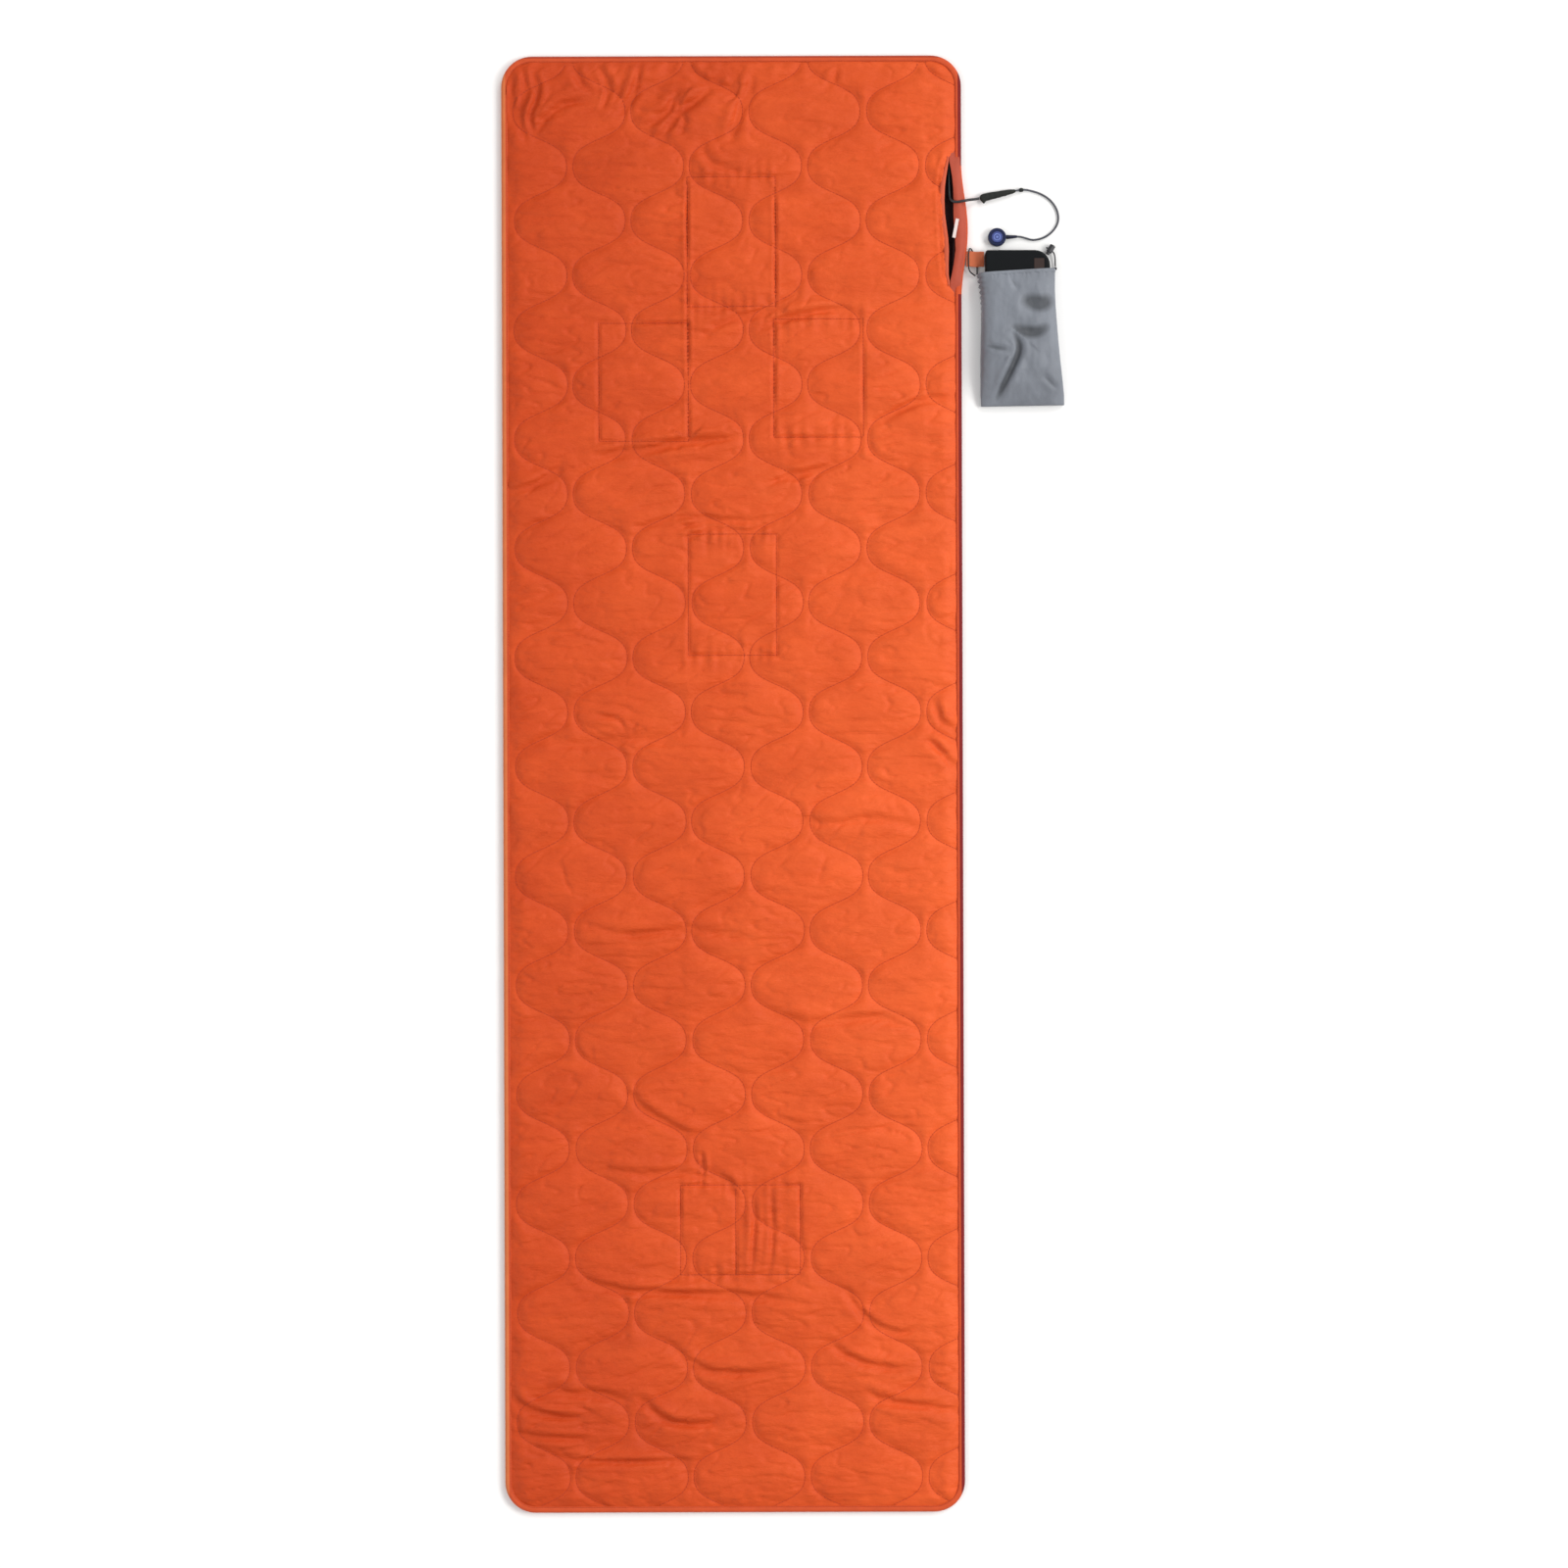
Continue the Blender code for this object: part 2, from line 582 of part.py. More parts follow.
def make_pocket(parts, cutters, finish):
    right = ANCHOR_X - BAG_FROM_EDGE
    outer = Vector((POCKET_DEPTH, 2 * BAG_HALF, BAG_HEIGHT))
    centre = Vector((right - POCKET_DEPTH / 2, ANCHOR_Y, BAG_LOW + BAG_HEIGHT / 2))
    bag = add("pocket_bag", box_mesh("pocket_bag", centre, outer), finish["lining"], parts, smooth=False)
    hollow = box_mesh("pocket_hollow", centre, outer - Vector((1, 1, 1)) * 2 * BAG_WALL)
    cut(bag, hollow, cutters, "pocket_hollow")
    mouth = plate_mesh("pocket_mouth", slit_outline(), BAG_LOW + BAG_HEIGHT / 2, 2 * MAT_THICK)
    cut(bag, mouth, cutters, "pocket_mouth")

    head_wall = ANCHOR_Y + BAG_HALF
    place = along(Vector((SLIT_X, head_wall + GLAND_BACK, centre.z)), Vector((0, -1, 0)))
    shoulder = GLAND_BACK - 2 * GAP
    profile = [(0, 0), (GLAND_FLANGE, 0), (GLAND_FLANGE, shoulder), (GLAND_NECK, shoulder),
               (GLAND_NECK, 2 * GLAND_BACK), (GLAND_TIP, GLAND_LENGTH), (0, GLAND_LENGTH)]
    add("lead_gland", turned_mesh("lead_gland", profile[::-1], place, 16), finish["lead"], parts)
    bore = GLAND_NECK + GAP
    hole = [(0, -MM), (bore, -MM), (bore, GLAND_LENGTH), (0, GLAND_LENGTH)]
    cut(bag, turned_mesh("gland_hole", hole[::-1], place, 16), cutters, "gland_hole")

    low = FLANGE_LOW
    steps = 16
    span = [ANCHOR_Y + (SLIT_LENGTH / 2 + 1.5 * MM) * (2 * k / steps - 1) for k in range(steps + 1)]
    near = [(SLIT_X - slit_half(y) - GAP, y) for y in span]
    far = [(x - INNER_WELT_WIDTH, y) for x, y in near]
    inner = plate_mesh("welt_inner", near + far[::-1], low, low + WELT_THICK)
    add("welt_inner", inner, finish["welt"], parts)
    near = [(SLIT_X + slit_half(y) + GAP, y) for y in span]
    far = [(x + OUTER_WELT_WIDTH, y) for x, y in near]
    outer = plate_mesh("welt_outer", near + far[::-1], low, low + WELT_THICK)
    add("welt_outer", outer, finish["welt"], parts)

    label_z = low + WELT_THICK + GAP + LABEL_SIZE[2] / 2
    label_at = (ANCHOR_X + LABEL_PLACE[0], ANCHOR_Y + LABEL_PLACE[1], label_z)
    label = box_mesh("care_label", label_at, LABEL_SIZE, LABEL_TURN)
    add("care_label", label, finish["label"], parts, smooth=False)

    tab_left = ANCHOR_X + swell(ANCHOR_Y + TAB_CENTRE + TAB_WIDTH / 2) + TAB_FROM_EDGE
    tab_right = ANCHOR_X + BANK_LEFT - TAB_TO_BANK
    tab_at = ((tab_left + tab_right) / 2, ANCHOR_Y + TAB_CENTRE, TAB_HEIGHT + TAB_THICK / 2)
    tab = box_mesh("webbing_tab", tab_at, (tab_right - tab_left, TAB_WIDTH, TAB_THICK))
    add("webbing_tab", tab, finish["webbing"], parts, smooth=False)


# ---------------------------------------------------------------- lead and controller

def make_lead(parts, finish):
    lead = tube_mesh("pocket_lead", route(LEAD_ROUTE, LEAD_DIAMETER), LEAD_DIAMETER)
    add("pocket_lead", lead, finish["lead"], parts)

    start = side(*SLEEVE_START, 0) + Vector((0, 0, SLEEVE_RADIUS))
    end = side(*SLEEVE_END, 0) + Vector((0, 0, SLEEVE_RADIUS))
    length = (end - start).length
    profile = [(0, 0)] + [(r * SLEEVE_RADIUS, s * length) for s, r in SLEEVE_SHAPE] + [(0, length)]
    sleeve = turned_mesh("lead_sleeve", profile[::-1], along(start, end - start), 16)
    add("lead_sleeve", sleeve, finish["sleeve"], parts)

    cord = tube_mesh("controller_cord", route(CORD_ROUTE, CORD_DIAMETER), CORD_DIAMETER)
    add("controller_cord", cord, finish["lead"], parts)

    half = BEAD_LENGTH / 2
    lip = BEAD_HOLE + BEAD_LIP
    ring = [(BEAD_HOLE, -half), (BEAD_HOLE, half), (lip, half), (BEAD_RADIUS, 0.3 * half),
            (BEAD_RADIUS, -0.3 * half), (lip, -half)]
    before, after = side(*CORD_ROUTE[1]), side(*CORD_ROUTE[3])
    place = along(side(*BEAD_CENTRE, 0) + Vector((0, 0, BEAD_HEIGHT)), after - before)
    add("lead_bead", turned_mesh("lead_bead", ring, place, 16), finish["sleeve"], parts)


def make_controller(parts, cutters, finish):
    centre = side(*CONTROLLER_CENTRE, 0)
    place = Matrix.Translation(centre)
    floor = CONTROLLER_WALL
    inner = CONTROLLER_INSIDE
    cup = [(0, 0), (CONTROLLER_RADIUS - BASE_ROUND, 0), (CONTROLLER_RADIUS, BASE_ROUND),
           (CONTROLLER_RADIUS, BASE_HEIGHT), (inner, BASE_HEIGHT), (inner, floor), (0, floor)]
    add("controller_base", turned_mesh("controller_base", cup[::-1], place, 36), finish["shell"], parts)

    bezel_low = BASE_HEIGHT + GAP
    bezel_top = bezel_low + BEZEL_HEIGHT
    opening = BUTTON_RADIUS + GAP
    chamfer, fall = BEZEL_CHAMFER
    bezel = [(opening, bezel_low), (opening, bezel_top), (CONTROLLER_RADIUS - chamfer, bezel_top),
             (CONTROLLER_RADIUS, bezel_top - fall), (CONTROLLER_RADIUS, bezel_low)]
    add("controller_bezel", turned_mesh("controller_bezel", bezel, place, 36), finish["bezel"], parts)

    board_low = floor + GAP
    board_top = board_low + BOARD_THICK
    board = [(0, board_low), (inner - 2 * GAP, board_low), (inner - 2 * GAP, board_top), (0, board_top)]
    add("controller_board", turned_mesh("controller_board", board[::-1], place, 24), finish["board"], parts)

    switch_low = board_top + GAP
    switch_at = centre + Vector((0, 0, switch_low + SWITCH_HEIGHT / 2))
    switch = box_mesh("controller_switch", switch_at, (SWITCH_SIDE, SWITCH_SIDE, SWITCH_HEIGHT))
    add("controller_switch", switch, finish["switch"], parts, smooth=False)

    low = switch_low + SWITCH_HEIGHT + GAP + BUTTON_TRAVEL
    rim_top = bezel_low - GAP
    rim_low = rim_top - BUTTON_RIM_THICK
    rim = BUTTON_RADIUS + BUTTON_RIM
    top = bezel_top + BUTTON_PROUD
    inset, edge_fall = BUTTON_EDGE
    profile = [(0, low), (BUTTON_STEM, low), (BUTTON_STEM, rim_low), (rim, rim_low), (rim, rim_top),
               (BUTTON_RADIUS, rim_top), (BUTTON_RADIUS, top - edge_fall), (BUTTON_RADIUS - inset, top),
               (0, top)]
    button = turned_mesh("controller_button", profile[::-1], place, 32)
    add("controller_button", button, finish["button"], parts)

    tip = side(*CORD_ROUTE[-1][:2], 0) + Vector((0, 0, RELIEF_HEIGHT))
    direction = (tip - centre - Vector((0, 0, RELIEF_HEIGHT))).normalized()
    start = centre + Vector((0, 0, RELIEF_HEIGHT)) + direction * (CONTROLLER_RADIUS + GAP)
    length = (tip - start).length - GAP
    cone = [(0, 0), (RELIEF_RADIUS, 0), (RELIEF_RADIUS, RELIEF_SHOULDER), (RELIEF_TIP, length), (0, length)]
    relief = turned_mesh("controller_relief", cone[::-1], along(start, direction), 16)
    add("controller_relief", relief, finish["shell"], parts)


# ---------------------------------------------------------------- power bank

def bank_outline(inset=0.0):
    low = (BANK_X - BANK_WIDTH / 2, BANK_Y - BANK_LENGTH / 2)
    high = (BANK_X + BANK_WIDTH / 2, BANK_Y + BANK_LENGTH / 2)
    radii = [BANK_CORNER, BANK_BIG_CORNER, BANK_CORNER, BANK_CORNER]
    return rounded_outline(low, high, radii, 6, inset)


def bank_ring(inset, z):
    return [(x, y, z) for x, y in bank_outline(inset)]


def rounded_levels(low, high, flip):
    """(inset, height) pairs up one wall, rounded at its outer end."""
    levels = []
    for k in range(4):
        angle = math.radians(90 * k / 3)
        rise = BANK_ROUND * (1 - math.cos(angle))
        levels.append((BANK_ROUND * (1 - math.sin(angle)), low + rise))
    levels.append((0.0, high))
    if flip:
        levels = [(inset, low + high - z) for inset, z in levels][::-1]
    return levels


def make_bank(parts, cutters, finish):
    half_gap = GAP / 2
    lower_levels = rounded_levels(BANK_REST, BANK_SPLIT - half_gap, False)
    upper_levels = rounded_levels(BANK_SPLIT + half_gap, BANK_REST + BANK_HEIGHT, True)
    lower = add("bank_lower_shell", loft_mesh("bank_lower_shell", [bank_ring(*l) for l in lower_levels]),
                finish["bank"], parts)
    upper = add("bank_upper_shell", loft_mesh("bank_upper_shell", [bank_ring(*l) for l in upper_levels]),
                finish["bank"], parts)
    inside = bank_outline(BANK_WALL)
    cavity_low = BANK_REST + BANK_WALL
    cavity_top = BANK_REST + BANK_HEIGHT - BANK_WALL
    cut(lower, plate_mesh("lower_cavity", inside, cavity_low, BANK_SPLIT + MM), cutters, "lower_cavity")
    cut(upper, plate_mesh("upper_cavity", inside, BANK_SPLIT - MM, cavity_top), cutters, "upper_cavity")

    cell_low = (BANK_X - CELL_WIDTH / 2, BANK_FOOT + BANK_WALL + 2 * GAP)
    cell_high = (BANK_X + CELL_WIDTH / 2, cell_low[1] + CELL_LENGTH)
    outline = rounded_outline(cell_low, cell_high, [CELL_CORNER] * 4, 2)
    for k, name in enumerate(("bank_cell_lower", "bank_cell_upper")):
        low = cavity_low + GAP + k * (CELL_THICK + GAP)
        add(name, plate_mesh(name, outline, low, low + CELL_THICK), finish["cell"], parts)

    port_y = BANK_END - PORT_SET_IN - PORT_OUTER[1] / 2
    port_centre = Vector((BANK_X + PORT_ACROSS, port_y, BANK_SPLIT))
    board_left = BANK_X - BANK_WIDTH / 2 + BANK_WALL + BANK_BOARD_LEFT_ROOM
    board_right = BANK_RIGHT - BANK_WALL - BANK_BOARD_RIGHT_ROOM
    board_y = BANK_END - BANK_BUTTON_LENGTH - BANK_BUTTON_TRAVEL - GAP - BANK_BOARD_LENGTH / 2
    board_top = BANK_SPLIT - PORT_OUTER[2] / 2 - GAP
    board_at = ((board_left + board_right) / 2, board_y, board_top - BANK_BOARD_THICK / 2)
    board = box_mesh("bank_board", board_at, (board_right - board_left, BANK_BOARD_LENGTH, BANK_BOARD_THICK))
    add("bank_board", board, finish["board"], parts, smooth=False)

    socket = box_mesh("bank_port", port_centre, PORT_OUTER)
    port = add("bank_port", socket, finish["metal"], parts, smooth=False)
    hollow_y = port_centre.y + PORT_OUTER[1] / 2 - PORT_HOLLOW[1] / 2 + MM
    hollow = (port_centre.x, hollow_y, port_centre.z)
    cut(port, box_mesh("port_hollow", hollow, PORT_HOLLOW), cutters, "port_hollow")
    port_room = Vector(PORT_OUTER) + Vector((2 * GAP, 2 * (CUT_PAST + GAP), 2 * GAP))
    for shell in (lower, upper):
        name = shell.name + "_port_cut"
        cut(shell, box_mesh(name, port_centre, port_room), cutters, name)

    button_x = BANK_X + BANK_BUTTON_ACROSS
    start = Vector((button_x, BANK_END + BANK_BUTTON_PROUD, BANK_SPLIT))
    radius, edge = BANK_BUTTON_RADIUS, BANK_BUTTON_EDGE
    rim = radius + BANK_BUTTON_RIM
    stem_end = BANK_BUTTON_PROUD + BANK_BUTTON_LENGTH
    flange = BANK_BUTTON_PROUD + BANK_WALL + GAP
    profile = [(0, 0), (radius - edge, 0), (radius, edge), (radius, flange), (rim, flange), (rim, stem_end),
               (0, stem_end)]
    button_place = along(start, Vector((0, -1, 0)))
    button = turned_mesh("bank_button", profile[::-1], button_place, 20)
    add("bank_button", button, finish["switch"], parts)
    bore = radius + GAP
    way_in = BANK_BUTTON_PROUD + BANK_WALL + CUT_PAST
    way = [(0, -MM), (bore, -MM), (bore, way_in), (0, way_in)]
    for shell in (lower, upper):
        name = shell.name + "_button_cut"
        cut(shell, turned_mesh(name, way[::-1], button_place, 20), cutters, name)
    switch_y = start.y - stem_end - GAP - BANK_BUTTON_TRAVEL - BANK_SWITCH[1] / 2
    switch_z = board_top + GAP + BANK_SWITCH[2] / 2
    switch = box_mesh("bank_switch", (button_x, switch_y, switch_z), BANK_SWITCH)
    add("bank_switch", switch, finish["switch"], parts, smooth=False)

    window_at = Vector((BANK_X + BANK_WIDTH / 2 - WINDOW_FROM_RIGHT, BANK_END - WINDOW_FROM_TOP,
                        BANK_REST + BANK_HEIGHT - WINDOW_SIZE[2] / 2))
    window = box_mesh("bank_window", window_at, WINDOW_SIZE)
    add("bank_window", window, finish["window"], parts, smooth=False)
    recess_size = Vector(WINDOW_SIZE) + Vector((2, 2, 2)) * GAP
    recess = box_mesh("window_recess", window_at, recess_size)
    cut(upper, recess, cutters, "window_recess")


# ---------------------------------------------------------------- pouch and drawstring

def pouch_ring(station, from_y):
    left_out, left_v, right_out, right_v, drop = (value * MM for value in station)
    left = Vector((BANK_X - BANK_WIDTH / 2 - left_out, from_y + left_v, 0))
    right = Vector((BANK_RIGHT + right_out, from_y + right_v, 0))
    centre = (left + right) / 2
    half = (right - left) / 2
    tall = POUCH_TOP - drop
    low = min(POUCH_LOW, tall / 2)
    ring = []
    for k in range(POUCH_RING):
        angle = 2 * math.pi * (k + 0.5) / POUCH_RING
        c, s = math.cos(angle), math.sin(angle)
        power = POUCH_TOP_POWER if s > 0 else POUCH_UNDER_POWER
        reach = math.copysign(abs(c) ** (2 / power), c)
        rise = abs(s) ** (2 / power)
        z = low + (tall - low) * rise if s > 0 else low - low * rise
        ring.append((centre.x + half.x * reach, centre.y + half.y * reach, z))
    return ring


def make_pouch(parts, finish):
    rings = [pouch_ring(station, BANK_END) for station in POUCH_FROM_TOP]
    rings += [pouch_ring(station, BANK_FOOT) for station in POUCH_FROM_FOOT]
    skin = loft_mesh("pouch", rings, close_start=False)
    pouch = add("pouch", skin, finish["pouch"], parts)
    wall = pouch.modifiers.new("cloth", "SOLIDIFY")
    wall.thickness = POUCH_CLOTH
    wall.offset = -1

    loop = tube_mesh("drawstring_loop", route(LOOP_ROUTE, STRING_DIAMETER), STRING_DIAMETER)
    add("drawstring_loop", loop, finish["string"], parts)
    tail = tube_mesh("drawstring_tail", route(TAIL_ROUTE, STRING_DIAMETER), STRING_DIAMETER)
    add("drawstring_tail", tail, finish["string"], parts)
    knot = bpy.data.meshes.new("string_knot")
    bm = bmesh.new()
    bmesh.ops.create_uvsphere(bm, u_segments=12, v_segments=8, radius=KNOT_RADIUS)
    knot_out, knot_along = KNOT_FROM_BANK
    bm.transform(Matrix.Translation((BANK_RIGHT + knot_out, BANK_END + knot_along, KNOT_RADIUS + GAP)))
    bm.to_mesh(knot)
    bm.free()
    add("string_knot", knot, finish["string"], parts)


def make_cord_lock(parts, cutters, finish):
    direction = Vector((math.cos(LOCK_TURN), math.sin(LOCK_TURN), 0))
    centre = Vector((BANK_RIGHT + LOCK_FROM_BANK[0], BANK_END + LOCK_FROM_BANK[1], LOCK_REST))
    place = along(centre, direction)
    half = LOCK_LENGTH / 2
    rim = LOCK_RIM
    floor = LOCK_FLOOR - half
    cup = [(0, -half), (LOCK_RADIUS - rim, -half), (LOCK_RADIUS, rim - half), (LOCK_RADIUS, half - rim),
           (LOCK_RADIUS - rim, half), (LOCK_BORE, half), (LOCK_BORE, floor), (0, floor)]
    body = add("lock_body", turned_mesh("lock_body", cup[::-1], place, 24), finish["lock"], parts)

    top = half + PLUNGER_PROUD
    bottom = half - PLUNGER_DEPTH
    profile = [(0, bottom), (PLUNGER_RADIUS, bottom), (PLUNGER_RADIUS, top - rim),
               (PLUNGER_RADIUS - rim, top), (0, top)]
    pin = turned_mesh("lock_plunger", profile[::-1], place, 20)
    plunger = add("lock_plunger", pin, finish["lock"], parts)

    tail = side(*TAIL_ROUTE[1]) - side(*TAIL_ROUTE[0])
    across = tail.normalized()
    crossing = centre + direction * STRING_RISE
    hole_place = along(crossing - across * 2 * LOCK_RADIUS, across)
    reach = 4 * LOCK_RADIUS
    round_hole = [(0, 0), (STRING_HOLE, 0), (STRING_HOLE, reach), (0, reach)]
    cut(body, turned_mesh("string_hole", round_hole[::-1], hole_place, 16), cutters, "string_hole")
    slot_size = (2 * STRING_HOLE + PLUNGER_TRAVEL, 2 * STRING_HOLE, reach)
    slot = box_mesh("string_slot", (0, 0, 0), slot_size)
    slot_centre = crossing + direction * PLUNGER_TRAVEL / 2
    slot.transform(Matrix.Translation(slot_centre) @ slot_turn(direction, across))
    cut(plunger, slot, cutters, "string_slot")

    spring_low = floor + SPRING_WIRE / 2 + GAP
    spring_top = bottom - SPRING_WIRE / 2 - GAP
    coil_radius = LOCK_BORE - SPRING_WIRE / 2 - GAP
    coil = []
    for k in range(SPRING_STEPS + 1):
        share = k / SPRING_STEPS
        angle = 2 * math.pi * SPRING_TURNS * share
        height = spring_low + (spring_top - spring_low) * share
        coil.append(place @ Vector((coil_radius * math.cos(angle), coil_radius * math.sin(angle), height)))
    add("lock_spring", tube_mesh("lock_spring", coil, SPRING_WIRE), finish["metal"], parts)


def slot_turn(long_axis, through):
    """A turn whose X runs along one direction and whose Z runs near another."""
    x = long_axis.normalized()
    z = (through - x * through.dot(x)).normalized()
    y = z.cross(x)
    return Matrix((x, y, z)).transposed().to_4x4()


# ---------------------------------------------------------------- build

def make_finishes():
    return {
        "cover": material("orange_taffeta", (0.72, 0.09, 0.03), 0.45),
        "lining": material("orange_lining", (0.62, 0.08, 0.03), 0.6),
        "batting": material("white_batting", (0.82, 0.80, 0.76), 0.95),
        "binding": material("orange_binding", (0.62, 0.12, 0.05), 0.6),
        "welt": material("orange_welt", (0.78, 0.16, 0.07), 0.55),
        "heater": material("carbon_pad", (0.03, 0.03, 0.035), 0.7),
        "harness": material("harness_ribbon", (0.10, 0.10, 0.11), 0.6),
        "label": material("white_label", (0.9, 0.9, 0.88), 0.7),
        "webbing": material("orange_webbing", (0.68, 0.19, 0.09), 0.75),
        "lead": material("black_lead", (0.02, 0.02, 0.022), 0.45),
        "sleeve": material("black_sleeve", (0.015, 0.016, 0.015), 0.6),
        "shell": material("navy_shell", (0.008, 0.011, 0.04), 0.4),
        "bezel": material("navy_bezel", (0.01, 0.016, 0.06), 0.35),
        "button": material("blue_button", (0.19, 0.28, 0.72), 0.4),
        "board": material("green_board", (0.02, 0.16, 0.07), 0.5),
        "switch": material("black_switch", (0.03, 0.03, 0.03), 0.5),
        "bank": material("black_bank", (0.02, 0.022, 0.024), 0.5),
        "cell": material("silver_cell", (0.55, 0.56, 0.58), 0.35, 0.6),
        "window": material("smoked_window", (0.03, 0.01, 0.005), 0.08),
        "metal": material("bright_steel", (0.6, 0.6, 0.6), 0.3, 1.0),
        "pouch": material("grey_mesh_cloth", (0.25, 0.27, 0.30), 0.85),
        "string": material("black_string", (0.02, 0.02, 0.02), 0.8),
        "lock": material("black_lock", (0.02, 0.02, 0.025), 0.4),
    }


def main():
    clear_scene()
    parts = new_collection("infrared_sauna_mat")
    cutters = new_collection("cutters")
    finish = make_finishes()
    make_mat(parts, cutters, finish)
    make_heaters(parts, finish)
    make_pocket(parts, cutters, finish)
    make_lead(parts, finish)
    make_controller(parts, cutters, finish)
    make_bank(parts, cutters, finish)
    make_pouch(parts, finish)
    make_cord_lock(parts, cutters, finish)


main()
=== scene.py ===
"""Looks for the quilted infrared sauna mat, with its wired controller and its power bank in a pouch.

Metres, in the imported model's own frame: the mat lies on z = 0, its pocket side is +X and its head end +Y.
Pieces beside the mat are placed from the side anchor, on the mat's right edge level with the middle of
the pocket slit. Lengths in the tables below are in millimetres where a name or a comment says so.
"""

import json
import math

import bmesh
import bpy
import numpy as np
from mathutils import Matrix, Vector, noise
from mathutils.bvhtree import BVHTree
from mathutils.kdtree import KDTree


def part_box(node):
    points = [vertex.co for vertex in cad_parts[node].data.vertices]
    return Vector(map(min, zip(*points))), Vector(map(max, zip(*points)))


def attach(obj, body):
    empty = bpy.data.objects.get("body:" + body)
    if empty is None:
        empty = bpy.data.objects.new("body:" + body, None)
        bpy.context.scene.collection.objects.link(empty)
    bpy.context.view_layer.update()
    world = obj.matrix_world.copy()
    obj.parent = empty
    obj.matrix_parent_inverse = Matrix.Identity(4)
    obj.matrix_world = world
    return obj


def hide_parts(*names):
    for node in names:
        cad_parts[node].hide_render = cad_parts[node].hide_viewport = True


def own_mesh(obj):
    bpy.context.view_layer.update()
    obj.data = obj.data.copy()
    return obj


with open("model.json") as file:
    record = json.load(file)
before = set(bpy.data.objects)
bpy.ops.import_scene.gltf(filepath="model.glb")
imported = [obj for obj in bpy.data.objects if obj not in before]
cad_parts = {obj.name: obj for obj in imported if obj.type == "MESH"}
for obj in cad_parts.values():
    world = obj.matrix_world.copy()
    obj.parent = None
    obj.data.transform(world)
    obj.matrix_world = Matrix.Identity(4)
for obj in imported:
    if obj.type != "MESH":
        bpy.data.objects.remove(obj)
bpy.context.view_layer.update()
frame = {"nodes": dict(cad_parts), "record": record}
MM = 0.001

# The frame's own sizes
BINDING_LOW, BINDING_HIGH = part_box("edge_binding")
HALF_WIDTH = -BINDING_LOW.x
HALF_LENGTH = BINDING_HIGH.y
SWELL = BINDING_HIGH.x - HALF_WIDTH
WELT_LOW, WELT_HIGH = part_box("welt_inner")
SLIT_Y = (WELT_LOW.y + WELT_HIGH.y) / 2
CORNER = 40 * MM
SWELL_HALF = 90 * MM
SWELL_Y = SLIT_Y - 11 * MM
ANCHOR = Vector((HALF_WIDTH, SLIT_Y, 0))

# Quilting: serpentine seams along the mat, neighbours mirrored, nearly touching at the junctions
SEAM_SPACING = 76.6 * MM
FIRST_COLUMN = -210.7 * MM
SEAM_SWING = 34.4 * MM
SEAM_PERIOD = 142.4 * MM
SEAM_PHASE_Y = 877.3 * MM
SEAM_Z = 9.9 * MM
PUFF = 4.8 * MM
PUFF_REACH = 15 * MM
TALLEST_PUFF = 8.5 * MM
MOST_MOVE = 6 * MM  # how far the simulation may carry a point of the cover
CUT_LARGER = (1.016, 1.034, 1.0)  # the cover's cut size, against the size it is sewn to
EDGE_Z = 8.2 * MM
EDGE_INSET = 7.5 * MM
GRID_STEP = 4.9 * MM
SLIT_BLEND = 16 * MM

# Heater pads as the stitched outlines that show on the cover
HEATERS = (
    "heater_upper_back", "heater_left_shoulder", "heater_right_shoulder", "heater_lumbar", "heater_feet",
)


def side(u, v, z=0.0):
    """A point given in mm from the side anchor."""
    return ANCHOR + Vector((u, v, z)) * MM


# ---------------------------------------------------------------- camera, light, floor

def make_camera():
    lens, sensor, seen = 85.0, 36.0, 2.0432
    data = bpy.data.cameras.new("camera")
    data.lens = lens
    data.sensor_width = sensor
    data.clip_end = 50
    camera = bpy.data.objects.new("camera", data)
    bpy.context.scene.collection.objects.link(camera)
    camera.location = (0.0664, 0.0, seen * lens / sensor + 0.012)
    camera.rotation_euler = (0, 0, -0.0030)
    bpy.context.scene.camera = camera


def make_light(name, place, target, size, power, color=(1, 1, 1)):
    data = bpy.data.lights.new(name, "AREA")
    data.shape = "RECTANGLE"
    data.size = size[0]
    data.size_y = size[1]
    data.energy = power
    data.color = color
    lamp = bpy.data.objects.new(name, data)
    bpy.context.scene.collection.objects.link(lamp)
    lamp.location = place
    lamp.rotation_euler = (Vector(target) - Vector(place)).to_track_quat("-Z", "Y").to_euler()


def make_studio():
    scene = bpy.context.scene
    scene.view_settings.view_transform = "Standard"
    scene.view_settings.look = "None"
    world = bpy.data.worlds.new("studio")
    scene.world = world
    world.use_nodes = True
    backdrop = world.node_tree.nodes["Background"]
    backdrop.inputs["Color"].default_value = (1, 0.99, 0.985, 1)
    backdrop.inputs["Strength"].default_value = 0.60
    make_light("key", (4.6, 0.3, 3.9), (0, 0, 0), (2.6, 2.6), 215, (1, 0.99, 0.97))
    make_light("fill", (-3.6, -1.0, 4.2), (0, 0, 0), (3.4, 3.4), 75, (0.97, 0.98, 1))
    daylight = bpy.data.lights.new("daylight", "SUN")
    daylight.energy = 1.05
    daylight.angle = math.radians(26)
    window = bpy.data.objects.new("daylight", daylight)
    scene.collection.objects.link(window)
    window.rotation_euler = Vector((0.75, 1.0, 1.0)).to_track_quat("Z", "Y").to_euler()
    bm = bmesh.new()
    bmesh.ops.create_grid(bm, x_segments=1, y_segments=1, size=6)
    bmesh.ops.translate(bm, verts=bm.verts, vec=(0, 0, -0.6 * MM))
    floor = link_mesh(bm, "floor", plain_finish("pale_floor", (0.86, 0.86, 0.855), 0.9))


# ---------------------------------------------------------------- meshes

